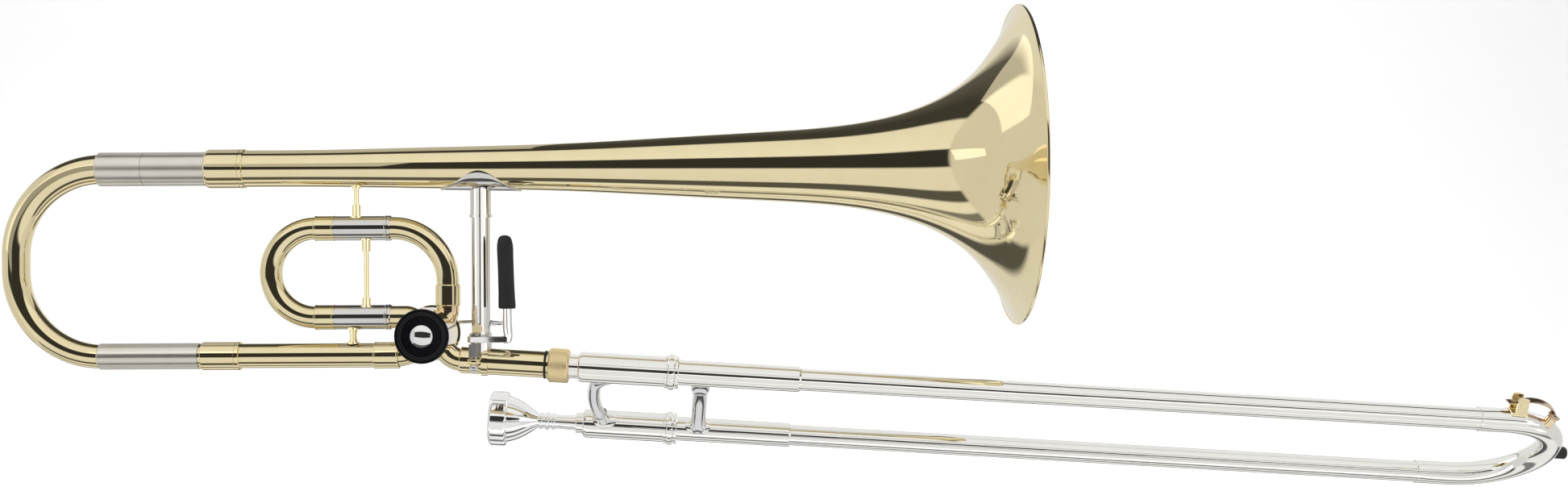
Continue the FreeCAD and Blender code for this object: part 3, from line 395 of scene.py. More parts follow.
def metal(name, light, dark, roughness, grain=0.0, metallic=1.0):
    """A finish with faint clouding in its colour and polish, and a fine grain if one is given."""
    material, tree, shader = blank_material(name)
    shader.inputs["Metallic"].default_value = metallic
    coords = tree.nodes.new("ShaderNodeTexCoord")
    cloud = tree.nodes.new("ShaderNodeTexNoise")
    cloud.inputs["Scale"].default_value = CLOUD_SCALE
    cloud.inputs["Detail"].default_value = 4.0
    tree.links.new(coords.outputs["Object"], cloud.inputs["Vector"])
    tint = tree.nodes.new("ShaderNodeValToRGB")
    tint.color_ramp.elements[0].position = 0.3
    tint.color_ramp.elements[0].color = (*dark, 1.0)
    tint.color_ramp.elements[1].position = 0.7
    tint.color_ramp.elements[1].color = (*light, 1.0)
    tree.links.new(cloud.outputs["Fac"], tint.inputs["Fac"])
    tree.links.new(tint.outputs["Color"], shader.inputs["Base Color"])
    polish = tree.nodes.new("ShaderNodeMapRange")
    polish.inputs["To Min"].default_value = max(roughness - POLISH_SPREAD, BEST_POLISH)
    polish.inputs["To Max"].default_value = roughness + POLISH_SPREAD
    tree.links.new(cloud.outputs["Fac"], polish.inputs["Value"])
    tree.links.new(polish.outputs["Result"], shader.inputs["Roughness"])
    if grain:
        fine = tree.nodes.new("ShaderNodeTexNoise")
        fine.inputs["Scale"].default_value = GRAIN_SCALE
        tree.links.new(coords.outputs["Object"], fine.inputs["Vector"])
        bump = tree.nodes.new("ShaderNodeBump")
        bump.inputs["Strength"].default_value = grain
        bump.inputs["Distance"].default_value = GRAIN_DEPTH
        tree.links.new(fine.outputs["Fac"], bump.inputs["Height"])
        tree.links.new(bump.outputs["Normal"], shader.inputs["Normal"])
    return material


# Each finish: its lighter and darker colour, its roughness, and the strength of its grain.
METALS = {
    "lacquered_brass": ((0.90, 0.79, 0.50), (0.87, 0.75, 0.46), 0.045),
    "rose_brass": ((0.93, 0.76, 0.50), (0.90, 0.70, 0.44), 0.06),
    "nickel_silver": ((0.75, 0.73, 0.70), (0.71, 0.69, 0.66), 0.06),
    "satin_nickel": ((0.82, 0.78, 0.70), (0.77, 0.73, 0.65), 0.30, 0.08),
    "nickel_tube": ((0.92, 0.905, 0.86), (0.89, 0.875, 0.83), 0.05),
    "grip_chrome": ((0.78, 0.78, 0.79), (0.72, 0.72, 0.73), 0.07),
    "chromed_tube": ((0.86, 0.87, 0.88), (0.81, 0.82, 0.83), 0.04),
    "drawn_brass": ((0.84, 0.68, 0.38), (0.78, 0.62, 0.34), 0.36, 0.2),
    "key_brass": ((0.80, 0.62, 0.46), (0.72, 0.54, 0.40), 0.22, 0.1),
    "lever_steel": ((0.80, 0.79, 0.78), (0.74, 0.73, 0.72), 0.10, 0.05),
    "spring_steel": ((0.48, 0.47, 0.47), (0.38, 0.38, 0.38), 0.25),
    "silver_trim": ((0.90, 0.89, 0.88), (0.86, 0.85, 0.84), 0.06),
    "silver_plate": ((0.95, 0.94, 0.93), (0.92, 0.91, 0.90), 0.03),
}
NOT_METALS = {
    "black_cap": ((0.004, 0.004, 0.005), (0.002, 0.002, 0.003), 0.08),
    "black_rubber": ((0.007, 0.007, 0.007), (0.004, 0.004, 0.004), 0.6, 0.3),
    "cork": ((0.60, 0.45, 0.30), (0.40, 0.28, 0.18), 0.8, 0.5),
}


def make_materials():
    """Every material, by the name of the record's slot that it finishes."""
    materials = {name: metal(name, *finish) for name, finish in METALS.items()}
    for name, finish in NOT_METALS.items():
        materials[name] = metal(name, *finish, metallic=0.0)
    return materials


def paint_frame():
    """Gives each CAD node the material of its slot."""
    for part in frame["record"]["subparts"]:
        for slot in frame["nodes"][part["node"]].material_slots:
            slot.material = MATERIALS[part["material_slot"]]


def frame_pieces():
    """The CAD nodes, each with the body that it rides on."""
    bodies = frame["record"]["behaviour"]["bodies"]
    body_of = {name: body for body, names in bodies.items() for name in names}
    return [(node, body_of[name]) for name, node in frame["nodes"].items()]


# ---- mesh helpers ---------------------------------------------------------------
def finish_piece(name, verts, faces, turn, body, nodes, finish, sharp=32.0):
    """Makes the piece, in metres, and hangs it on its body in place of the CAD nodes."""
    mesh = bpy.data.meshes.new(name)
    mesh.from_pydata([turn @ (Vector(vert) * MM) for vert in verts], [], faces)
    mesh.validate()
    mesh.shade_smooth()
    mesh.set_sharp_from_angle(angle=math.radians(sharp))
    piece = bpy.data.objects.new(name, mesh)
    bpy.context.collection.objects.link(piece)
    mesh.materials.append(MATERIALS[finish])
    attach(piece, body)
    if nodes:
        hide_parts(*nodes)
    PIECES.append((piece, body))


def rings_to_faces(count, sides, closed):
    """Quads between rings of points; the last ring joins the first when closed."""
    faces = []
    for row in range(count if closed else count - 1):
        low = row * sides
        high = (row + 1) % count * sides
        for side in range(sides):
            after = (side + 1) % sides
            faces.append((low + side, low + after, high + after, high + side))
    return faces


def capped(faces, count, sides):
    """Adds an end face to each end of an open stack of rings."""
    faces.append(tuple(range(sides - 1, -1, -1)))
    faces.append(tuple(range((count - 1) * sides, count * sides)))
    return faces


def turned_mesh(outline, height, sides=128):
    """Turns a closed outline of (x, radius) points about the line parallel to X at this height."""
    verts = []
    for x, radius in outline:
        for side in range(sides):
            angle = math.tau * side / sides
            verts.append((x, radius * math.sin(angle), height + radius * math.cos(angle)))
    return verts, rings_to_faces(len(outline), sides, True)


def upright_mesh(outline, x, y, sides=64):
    """Turns (radius, z) points about the line parallel to Z at this x and y, and caps the ends."""
    verts = []
    for radius, z in outline:
        for side in range(sides):
            angle = math.tau * side / sides
            verts.append((x + radius * math.cos(angle), y + radius * math.sin(angle), z))
    return verts, capped(rings_to_faces(len(outline), sides, False), len(outline), sides)


def smooth_line(points, count):
    """A natural cubic spline through points of any size, spaced by its chords."""
    points = [Vector(point) for point in points]
    knots = [0.0]
    for before, after in zip(points, points[1:]):
        knots.append(knots[-1] + (after - before).length)
    last = len(points) - 1
    spans = [knots[i + 1] - knots[i] for i in range(last)]
    zero = points[0] * 0.0
    slopes, weights = [zero], [0.0]
    for i in range(1, last):
        rise = (points[i + 1] - points[i]) / spans[i] - (points[i] - points[i - 1]) / spans[i - 1]
        pivot = 2 * (spans[i - 1] + spans[i]) - spans[i - 1] * weights[i - 1]
        weights.append(spans[i] / pivot)
        slopes.append((rise * 6 - slopes[i - 1] * spans[i - 1]) / pivot)
    bends = [zero] * (last + 1)
    for i in range(last - 1, 0, -1):
        bends[i] = slopes[i] - bends[i + 1] * weights[i]
    line = []
    span = 0
    for step in range(count + 1):
        at = knots[-1] * step / count
        while span < last - 1 and at > knots[span + 1]:
            span += 1
        width = spans[span]
        ahead = (at - knots[span]) / width
        behind = 1 - ahead
        bend = bends[span] * (behind ** 3 - behind) + bends[span + 1] * (ahead ** 3 - ahead)
        line.append(points[span] * behind + points[span + 1] * ahead + bend * (width ** 2 / 6))
    return line


SHORTEST_RUN = 0.05


def bent_line(points, radii, step=2.0):
    """Straight runs joined by tangent arcs, as evenly spaced points."""
    points = [Vector(point) for point in points]
    line = [points[0]]

    def run_to(target):
        start = line[-1]
        count = max(1, round((target - start).length / step))
        line.extend(start.lerp(target, i / count) for i in range(1, count + 1))

    for index, radius in enumerate(radii):
        corner = points[index + 1]
        back = (points[index] - corner).normalized()
        ahead = (points[index + 2] - corner).normalized()
        half = back.angle(ahead) / 2
        reach = radius / math.tan(half)
        centre = corner + (back + ahead).normalized() * (radius / math.sin(half))
        first = corner + back * reach - centre
        second = corner + ahead * reach - centre
        if (first + centre - line[-1]).length > SHORTEST_RUN:
            run_to(first + centre)
        axis = first.cross(second).normalized()
        sweep = first.angle(second)
        count = max(6, round(sweep * radius / step * 2))
        for i in range(1, count + 1):
            line.append(centre + Matrix.Rotation(sweep * i / count, 3, axis) @ first)
    if (points[-1] - line[-1]).length > SHORTEST_RUN:
        run_to(points[-1])
    return line


def swept_mesh(line, radius, sides=48):
    """A round bar along a line; radius is a number or a function of the way along, 0 to 1."""
    last = len(line) - 1
    verts = []
    across = None
    for index, point in enumerate(line):
        along = (line[min(index + 1, last)] - line[max(index - 1, 0)]).normalized()
        if across is None:
            across = along.orthogonal() if abs(along.y) > 0.9 else Vector((0, 1, 0))
        across = (across - along * across.dot(along)).normalized()
        up = along.cross(across)
        size = radius(index / last) if callable(radius) else radius
        for side in range(sides):
            angle = math.tau * side / sides
            verts.append(point + across * (size * math.cos(angle)) + up * (size * math.sin(angle)))
    return verts, capped(rings_to_faces(len(line), sides, False), len(line), sides)


def swept_tube(line, radius, wall, sides=64):
    """A bent tube: the outside, the inside and the two rims between them."""
    outer, _ = swept_mesh(line, radius, sides)
    inside = (lambda at: radius(at) - wall) if callable(radius) else radius - wall
    inner, _ = swept_mesh(line, inside, sides)
    count = len(line)
    faces = rings_to_faces(count, sides, False)
    shift = count * sides
    faces += [tuple(shift + corner for corner in reversed(face)) for face in faces]
    for side in range(sides):
        after = (side + 1) % sides
        end = (count - 1) * sides
        faces.append((after, side, shift + side, shift + after))
        faces.append((end + side, end + after, shift + end + after, shift + end + side))
    return outer + inner, faces


def joined(*meshes):
    """Several meshes as one list of points and faces."""
    verts, faces = [], []
    for part_verts, part_faces in meshes:
        start = len(verts)
        verts += [tuple(vert) for vert in part_verts]
        faces += [tuple(start + corner for corner in face) for face in part_faces]
    return verts, faces


def coil_line(centre, axis, radius, length, turns, steps=28):
    """The centre line of a coil spring that stands along an axis."""
    axis = Vector(axis).normalized()
    side = axis.orthogonal().normalized()
    other = axis.cross(side)
    line = []
    for step in range(int(turns * steps) + 1):
        angle = math.tau * step / steps
        rise = axis * (length * step / (turns * steps))
        line.append(Vector(centre) + rise + (side * math.cos(angle) + other * math.sin(angle)) * radius)
    return line


# ---- bell section ---------------------------------------------------------------
def bell_profile(count=220):
    """The bell's outer profile, from its tail to its rim."""
    behind_rim = [(513.3, 11.9), (445.0, 12.0), (383.0, 13.2), (290.0, 15.4), (228.0, 18.6),
                  (166.0, 22.0), (119.0, 25.3), (88.0, 30.0), (57.0, 39.6), (42.0, 47.6),
                  (26.5, 60.0), (13.5, 76.5), (5.0, 91.0), (0.6, RIM_R)]
    return smooth_line([(RIM_X - back, radius) for back, radius in behind_rim], count)


def offset_profile(line, distance):
    """The profile moved out from the bell's wall."""
    last = len(line) - 1
    moved = []
    for index, point in enumerate(line):
        along = (line[min(index + 1, last)] - line[max(index - 1, 0)]).normalized()
        moved.append(point + Vector((-along.y, along.x)) * distance)
    return moved


def make_bell():
    """The bell as one hollow turning, and the wire rolled into its rim."""
    outer = bell_profile()
    inner = offset_profile(outer, -BELL_WALL)
    outline = [tuple(point) for point in outer] + [tuple(point) for point in reversed(inner)]
    verts, faces = turned_mesh(outline, BELL_AXIS, sides=192)
    finish_piece("bell_flare", verts, faces, LEANT, "bell_section", ["bell"], "lacquered_brass")
    ring = []
    for step in range(24):
        angle = math.tau * step / 24
        ring.append((RIM_X + RIM_WIRE_R * math.cos(angle), RIM_R + 0.2 + RIM_WIRE_R * math.sin(angle)))
    verts, faces = turned_mesh(ring, BELL_AXIS, sides=192)
    finish_piece("bell_rim_bead", verts, faces, LEANT, "bell_section", ["bell_rim_wire"],
                 "lacquered_brass")


def make_saddle():
    """The thin plate wrapped under the bell, cut to a low hump on each side."""
    hump = [(-25.0, -13.5), (-15.0, -10.0), (-6.5, -4.5), (0.0, -2.5), (6.5, -4.5), (15.0, -10.0),
            (26.0, -15.2)]
    profile = bell_profile(600)
    verts = []
    rows, columns = 60, 48
    for point in smooth_line(hump, rows):
        radius = min(profile, key=lambda spot: abs(spot.x - point.x)).y
        reach = math.acos(min(0.9999, -point.y / (radius + 0.4)))
        for layer in (0.95, 0.0):
            for column in range(columns + 1):
                across = 2 * column / columns - 1
                rim = 1 - abs(across) ** 16
                angle = reach * across
                size = radius + layer * (0.55 + 0.45 * rim)
                verts.append((point.x, size * math.sin(angle), BELL_AXIS - size * math.cos(angle)))
    ring = 2 * (columns + 1)
    faces = []
    for row in range(rows):
        for column in range(columns):
            low = row * ring + column
            faces.append((low, low + 1, low + ring + 1, low + ring))
        for column in (0, columns):
            low = row * ring + column
            faces.append((low, low + ring, low + ring + columns + 1, low + columns + 1))
    finish_piece("bell_saddle_plate", verts, faces, LEANT, "bell_section", ["bell_brace_saddle"],
                 "nickel_silver", sharp=50.0)


def make_bows():
    """The bent tubes of the bell section."""
    corner_x = BOW_X - BOW_CORNER
    line = bent_line([(BOW_START, 0, BELL_AXIS), (corner_x, 0, BELL_AXIS), (corner_x, 0, NECK_AXIS),
                      (BOW_START, 0, NECK_AXIS)], [BOW_CORNER, BOW_CORNER])
    verts, faces = swept_tube(line, lambda at: BOW_UPPER_R + (BOW_LOWER_R - BOW_UPPER_R) * at, BOW_WALL)
    finish_piece("tuning_bow_tube", verts, faces, LEANT, "main_tuning_slide", ["tuning_bow"],
                 "lacquered_brass")
    spread = (LOOP_UPPER - LOOP_LOWER) / 2
    turn_x = LOOP_BEND_X - spread
    line = bent_line([(LOOP_SLIDE_X, 0, LOOP_UPPER), (turn_x, 0, LOOP_UPPER), (turn_x, 0, LOOP_LOWER),
                      (LOOP_SLIDE_X, 0, LOOP_LOWER)], [spread - 0.01, spread - 0.01])
    verts, faces = swept_tube(line, LOOP_R, LOOP_WALL)
    finish_piece("valve_slide_bow_tube", verts, faces, LEANT, "valve_tuning_slide",
                 ["valve_slide_bow"], "lacquered_brass")
    line = bent_line([(LOOP_TOP_X, 0, LOOP_UPPER), (LOOP_DROP_X, 0, LOOP_UPPER),
                      (LOOP_DROP_X, 0, LOOP_DROP_END)], [LOOP_DROP_BEND])
    verts, faces = swept_tube(line, LOOP_R + 0.05, LOOP_WALL + 0.05)
    finish_piece("loop_top_bow_tube", verts, faces, LEANT, "bell_section", ["loop_top_bow"],
                 "lacquered_brass")


def rounded_plate(outline, low, high, edge):
    """A flat plate from an outline of (x, y) points, with eased upper and lower edges."""
    count = len(outline)
    middle = sum((Vector(point) for point in outline), Vector((0.0, 0.0))) / count
    verts = []
    for inset, z in ((edge, low), (0.0, low + edge), (0.0, high - edge), (edge, high)):
        for index, point in enumerate(outline):
            before, after = Vector(outline[index - 1]), Vector(outline[(index + 1) % count])
            along = (after - before).normalized()
            inward = Vector((-along.y, along.x))
            if inward.dot(middle - Vector(point)) < 0:
                inward = -inward
            x, y = Vector(point) + inward * inset
            verts.append((x, y, z))
    return verts, capped(rings_to_faces(4, count, False), 4, count)


def stadium(start, end, first, second, steps=14):
    """The outline round two circles of different sizes."""
    start, end = Vector(start), Vector(end)
    heading = math.atan2(end.y - start.y, end.x - start.x)
    lean = math.acos((first - second) / (end - start).length)
    outline = []
    for centre, radius, low, high in ((end, second, -lean, lean), (start, first, lean, math.tau - lean)):
        for step in range(steps + 1):
            angle = heading + low + (high - low) * step / steps
            outline.append((centre.x + radius * math.cos(angle), centre.y + radius * math.sin(angle)))
    return outline


def make_lever():
    """The thumb lever's metal: hub plate, thick rod, bent arm, and a disc with a pin at its end."""
    hub = stadium((POST_X, POST_Y), (LEVER_ROD_X, LEVER_ROD_Y), 4.1, 2.7)
    hub = rounded_plate(hub, LEVER_LOW, LEVER_HIGH, 0.5)
    rod_line = smooth_line([(LEVER_ROD_X - 2.2, LEVER_ROD_Y + 0.6, 13.7),
                            (LEVER_ROD_X + 0.2, LEVER_ROD_Y, 14.6),
                            (LEVER_ROD_X + 0.5, LEVER_ROD_Y, 19.0),
                            (LEVER_ROD_X + 0.1, LEVER_ROD_Y, 28.0),
                            (LEVER_ROD_X, LEVER_ROD_Y, 38.0)], 40)
    lever_rod = swept_mesh(rod_line, lambda at: 1.9 + 1.25 * math.sin(min(1.0, at * 2.6) * math.pi / 2)
                           - 0.35 * at)
    arm_line = smooth_line([(15.4, -15.2, 14.6), (17.2, -9.0, 16.0), (17.0, 0.0, 20.0),
                            (14.4, 10.0, LINK_Z), (9.0, 19.0, LINK_Z), (LINK_PIN_X, LINK_Y, LINK_Z)], 60)
    arm = swept_mesh(arm_line, lambda at: 1.9 - 0.5 * at)
    disc_outline = [(1.0, LINK_Z - 1.9), (2.9, LINK_Z - 1.9), (3.1, LINK_Z - 1.6), (3.1, LINK_Z - 0.7),
                    (2.9, LINK_Z - 0.4), (1.2, LINK_Z - 0.4), (1.2, LINK_Z + 1.3), (0.9, LINK_Z + 1.6)]
    disc = upright_mesh(disc_outline, LINK_PIN_X, LINK_Y, sides=40)
    verts, faces = joined(hub, lever_rod, arm, disc)
    finish_piece("lever_bar", verts, faces, LEANT, "thumb_lever", ["thumb_lever"], "lever_steel")


def make_lever_grip():
    """The rubber sleeve on the lever's rod, leaning a little towards -X at its top."""
    low = GRIP_LOW
    outline = [(2.4, low + 1.5), (4.7, low + 0.1), (5.3, low + 0.4), (5.5, low + 1.2), (5.45, low + 3.0),
               (5.2, low + 9.0), (5.05, 56.0), (5.1, 66.0), (5.2, 71.0), (5.05, 74.4), (4.5, 77.4),
               (3.7, 79.2), (2.4, 80.1), (1.0, GRIP_HIGH)]
    verts, faces = upright_mesh(outline, LEVER_ROD_X, LEVER_ROD_Y)
    leaning = [(x - GRIP_LEAN * (z - low), y, z) for x, y, z in verts]
    finish_piece("lever_grip_sleeve", leaning, faces, LEANT, "thumb_lever", ["lever_grip"],
                 "black_rubber", sharp=60.0)


def make_lever_coil():
    """The torsion spring round the lever's post."""
    line = coil_line((POST_X, POST_Y, 3.2), (0, 0, 1), 2.95, 8.4, 9)
    verts, faces = swept_mesh(line, 0.48, sides=12)
    finish_piece("lever_coil", verts, faces, LEANT, "bell_section", ["lever_spring"], "spring_steel")


def wrapped_strap(start, end, radius, low, high, thick, steps=40):
    """A band round a tube along X, between two angles measured from +Z towards the front."""
    verts = []
    for step in range(steps + 1):
        angle = math.radians(low + (high - low) * step / steps)
        for x, size in ((start, radius), (start + 0.3, radius + thick), (end - 0.3, radius + thick),
                        (end, radius)):
            verts.append((x, -size * math.sin(angle), size * math.cos(angle)))
    return verts, capped(rings_to_faces(steps + 1, 4, False), steps + 1, 4)


def make_lever_bracket():
    """The strap and round table on the receiver, and the lever's post with a ball under it."""
    table = [(2.6, -1.4), (3.9, -0.9), (4.2, -0.3), (4.2, 1.6), (3.9, 2.1), (2.6, 2.5)]
    table = upright_mesh(table, POST_X, POST_Y, sides=48)
    neck = swept_mesh([Vector((POST_X + 1.5, -12.5, 0.4)), Vector((POST_X + 1.5, -8.0, 0.4))], 3.0)
    strap = wrapped_strap(0.4, 5.2, RECEIVER_R, 8.0, 172.0, 0.9)
    lean_back = LEANT.inverted()
    strap_verts = [tuple(lean_back @ Vector(vert)) for vert in strap[0]]
    verts, faces = joined(table, neck, (strap_verts, strap[1]))
    finish_piece("lever_bracket_strap", verts, faces, LEANT, "bell_section", ["lever_bracket"],
                 "lacquered_brass")
    pivot = [(POST_R, 2.5), (POST_R, 16.6), (2.6, 16.9), (3.0, 17.2), (3.0, 18.0), (2.5, 18.4),
             (1.0, POST_TOP)]
    pivot = upright_mesh(pivot, POST_X, POST_Y, sides=40)
    ball = [(2.8 * math.sin(math.radians(at)), -3.4 - 2.8 * math.cos(math.radians(at)))
            for at in range(6, 175, 8)]
    ball = upright_mesh(ball, POST_X, POST_Y - 0.6, sides=40)
    verts, faces = joined(pivot, ball)
    finish_piece("lever_post_turning", verts, faces, LEANT, "bell_section", ["lever_post_and_nut"],
                 "lever_steel")


# ---- slide section --------------------------------------------------------------
def make_lock_nut():
    """The coupling nut: a soft barrel with rolled shoulders and fine ridges between them."""
    low, high = NUT_START, NUT_END
    rows = 48
    ridges, per_ridge = 84, 5
    outside = []
    for row in range(rows + 1):
        at = row / rows
        edge = min(at, 1 - at) / 0.14
        round_off = math.sqrt(max(0.0, 1 - (1 - min(edge, 1.0)) ** 2))
        swell = 10.75 + 0.25 * math.cos((at - 0.5) * math.pi) + 0.3 * math.exp(-((edge - 0.9) / 0.5) ** 2)
        outside.append((low + (high - low) * at, 9.6 + (swell - 9.6) * round_off))
    outline = outside + [(high, 7.9), (52.4, 7.9), (52.4, 9.3), (low, 9.3)]
    sides = ridges * per_ridge
    verts, faces = turned_mesh(outline, 0.0, sides=sides)
    grooved = []
    for index, (x, y, z) in enumerate(verts):
        row, side = divmod(index, sides)
        fade = math.exp(-((row / rows - 0.5) / 0.3) ** 6) if row <= rows else 0.0
        scale = 1 - 0.006 * fade * (0.5 + 0.5 * math.cos(math.tau * side / per_ridge))
        grooved.append((x, y * scale, z * scale))
    finish_piece("lock_nut_barrel", grooved, faces, TURNED, "lock_nut", ["bell_lock_nut"], "drawn_brass")


def make_mouthpiece():
    """Cup, throat and shank in one turning, with the three turned rings behind the cup."""
    start = MOUTHPIECE_X
    rim = smooth_line([(start + 0.9, 13.2), (start + 0.1, 14.6), (start, 15.7), (start + 0.5, 17.2),
                       (start + 2.2, MOUTHPIECE_R), (start + 6.0, MOUTHPIECE_R),
                       (start + 11.0, MOUTHPIECE_R), (start + 12.4, 18.0), (start + 12.8, 16.4)], 40)
    cup = smooth_line([(start + 12.8, 16.0), (start + 16.5, 14.9), (start + 20.0, 13.6),
                       (start + 24.0, 11.5), (start + 28.0, 8.9), (start + 31.0, 6.7),
                       (start + 33.4, 5.0)], 30)
    outline = [(point.x, min(point.y, MOUTHPIECE_R)) for point in rim]
    outline += [tuple(point) for point in cup]
    for middle, half, bulge in ((35.4, 1.3, 5.9), (39.7, 1.5, 6.3), (43.9, 1.2, 5.7)):
        for step in range(9):
            angle = math.pi * step / 8
            radius = 4.9 + (bulge - 4.9) * math.sin(angle)
            outline.append((start + middle - half * math.cos(angle), radius))
    outline += [(start + 46.2, 4.8), (57.2, SHANK_R), (80.0, SHANK_R - 0.05), (80.0, 4.7), (50.0, 3.4),
                (31.0, 3.3)]
    bowl = smooth_line([(27.0, 4.2), (20.0, 8.4), (12.0, 11.6), (start + 3.0, 12.7),
                        (start + 1.3, 13.0)], 24)
    outline += [tuple(point) for point in bowl]
    verts, faces = turned_mesh(outline, -TUBE_SPACING)
    finish_piece("mouthpiece_turning", verts, faces, TURNED, "mouthpiece", ["mouthpiece"], "silver_plate")


def leaf_pad(x, height, half_length, half_width, side, barrel, thick=0.9):
    """An oval plate wrapped on a tube, thinning towards its edge."""
    rings, sides = 8, 56
    verts = []
    for lift in (1.0, 0.0):
        for ring in range(rings + 1):
            out = ring / rings
            for step in range(sides):
                angle = math.tau * step / sides
                across = half_width * out * math.sin(angle)
                rise = barrel + lift * thick * (1 - 0.7 * out ** 6)
                verts.append((x + half_length * out * math.cos(angle), across,
                              height + side * math.sqrt(rise ** 2 - across ** 2)))
    count = (rings + 1) * sides
    faces = []
    for ring in range(rings):
        for step in range(sides):
            low = ring * sides + step
            after = ring * sides + (step + 1) % sides
            faces.append((low, after, after + sides, low + sides))
    edge = rings * sides
    for step in range(sides):
        after = (step + 1) % sides
        faces.append((edge + step, edge + after, count + edge + after, count + edge + step))
    return verts, faces


def make_inner_brace():
    """The curved grip that grows out of a tongue under the upper barrel."""
    low = -TUBE_SPACING
    line = smooth_line([(101.0, 0, -10.0), (92.0, 0, -11.2), (82.0, 0, -14.5), (74.4, 0, -22.0),
                        (71.6, 0, -34.0), (71.2, 0, -50.0), (73.0, 0, -66.0), (76.2, 0, -80.0)], 90)

    def thickness(at):
        grow = min(1.0, at / 0.22)
        return 0.7 + 3.5 * grow * grow * (3 - 2 * grow)

    grip = swept_mesh(line, thickness)
    collar_line = smooth_line([(74.2, 0, -70.6), (74.9, 0, -74.0)], 16)
    collar = swept_mesh(collar_line, lambda at: 4.0 + 1.0 * math.sin(math.pi * at))
    foot_line = smooth_line([(74.7, 0, -73.0), (76.4, 0, -81.2)], 12)
    foot = swept_mesh(foot_line, lambda at: 4.55 + 0.5 * at * at)
    upper = leaf_pad(90.0, 0.0, 14.0, 6.0, -1, BARREL_R)
    lower = leaf_pad(77.5, low, 8.5, 6.4, 1, BARREL_R)
    verts, faces = joined(grip, collar, foot)
    finish_piece("inner_brace_grip", verts, faces, TURNED, "inner_slide", ["inner_slide_brace"],
                 "grip_chrome", sharp=50.0)
    verts, faces = joined(upper, lower)
    finish_piece("inner_brace_leaves", verts, faces, TURNED, "inner_slide", [], "nickel_tube", sharp=50.0)


def make_outer_brace():
    """The straight grip between the outer tubes, with a socket and an oval pad at each end."""
    low = -TUBE_SPACING
    outline = [(6.4, -7.4), (6.1, -9.2), (6.0, -11.0), (6.0, -19.6), (6.25, -20.0), (6.3, -20.5),
               (6.1, -21.0), (5.3, -21.3), (5.0, -22.4), (4.95, -40.0), (4.95, -62.0), (5.0, -76.0),
               (5.3, -79.8), (5.9, low + 8.4), (6.2, low + 7.4)]
    verts, faces = upright_mesh(outline, OUTER_BRACE_X, 0.0)
    fitted = []
    for x, y, z in verts:
        surface = math.sqrt(max(1.0, (SLEEVE_R + 0.3) ** 2 - y ** 2))
        fitted.append((x, y, min(max(z, low + surface), -surface)))
    pads = [leaf_pad(OUTER_BRACE_X, 0.0, 9.2, 6.2, -1, SLEEVE_R),
            leaf_pad(OUTER_BRACE_X, low, 9.2, 6.2, 1, SLEEVE_R)]
    finish_piece("outer_brace_bar", fitted, faces, TURNED, "outer_slide", ["outer_brace_grip"],
                 "grip_chrome", sharp=50.0)
    verts, faces = joined(*pads)
    finish_piece("outer_brace_leaves", verts, faces, TURNED, "outer_slide", ["outer_brace_pads"],
                 "nickel_tube", sharp=50.0)


def make_slide_bow():
    """The bow and its two ferrules, which sit flush with it."""
    turn_x = SLIDE_BOW_X + TUBE_SPACING / 2
    half = TUBE_SPACING / 2 - 0.01
    line = bent_line([(UPPER_TUBE_END, 0, 0), (turn_x, 0, 0), (turn_x, 0, -TUBE_SPACING),
                      (LOWER_TUBE_END, 0, -TUBE_SPACING)], [half, half])
    verts, faces = swept_tube(line, SLIDE_BOW_R, SLIDE_BOW_WALL, sides=96)
    finish_piece("slide_bow_tube", verts, faces, TURNED, "outer_slide", ["slide_bow"], "nickel_tube")
    sleeves = []
    for height, start, end in ((0.0, UPPER_FERRULE, UPPER_TUBE_END),
                               (-TUBE_SPACING, LOWER_FERRULE, LOWER_TUBE_END)):
        outline = [(start, 7.1), (start, 7.6), (start + 0.25, 7.86), (start + 0.7, 7.86),
                   (start + 1.0, SLIDE_BOW_R), (end, SLIDE_BOW_R), (end, 7.1)]
        sleeves.append(turned_mesh(outline, height, sides=96))
    verts, faces = joined(*sleeves)
    finish_piece("slide_bow_sleeves", verts, faces, TURNED, "outer_slide", ["slide_bow_ferrules"],
                 "nickel_tube")


def domed_leaf(spine, width, dome, thick, rows=44, columns=20):
    """A leaf-shaped shell along a spine in the XZ plane; width and dome depend on the way along."""
    line = smooth_line(spine, rows)
    verts = []
    for lift in (0.0, -thick):
        for index, point in enumerate(line):
            at = index / rows
            along = (line[min(index + 1, rows)] - line[max(index - 1, 0)]).normalized()
            up = Vector((-along.z, 0.0, along.x))
            half = width(at)
            for column in range(columns + 1):
                across = 2 * column / columns - 1
                drop = dome(at) * across * across
                edge = 1 - 0.6 * abs(across) ** 12
                verts.append(point + Vector((0, half * across, 0)) + up * (lift * edge - drop))
    shell = (rows + 1) * (columns + 1)
    faces = []
    for row in range(rows):
        for column in range(columns):
            low = row * (columns + 1) + column
            quad = (low, low + 1, low + columns + 2, low + columns + 1)
            faces.append(quad)
            faces.append(tuple(shell + corner for corner in reversed(quad)))
        for low in (row * (columns + 1), row * (columns + 1) + columns):
            faces.append((low, low + columns + 1, shell + low + columns + 1, shell + low))
    for low in (0, rows * (columns + 1)):
        for column in range(columns):
            faces.append((low + column, low + column + 1, shell + low + column + 1, shell + low + column))
    return verts, faces


def key_place(distance):
    """A point on the drain's axis, by distance out from the slide bow's centre line."""
    out = Vector((math.cos(KEY_ANGLE), 0.0, math.sin(KEY_ANGLE)))
    return Vector((SLIDE_BOW_X, 0.0, -TUBE_SPACING / 2)) + out * (TUBE_SPACING / 2 + distance)


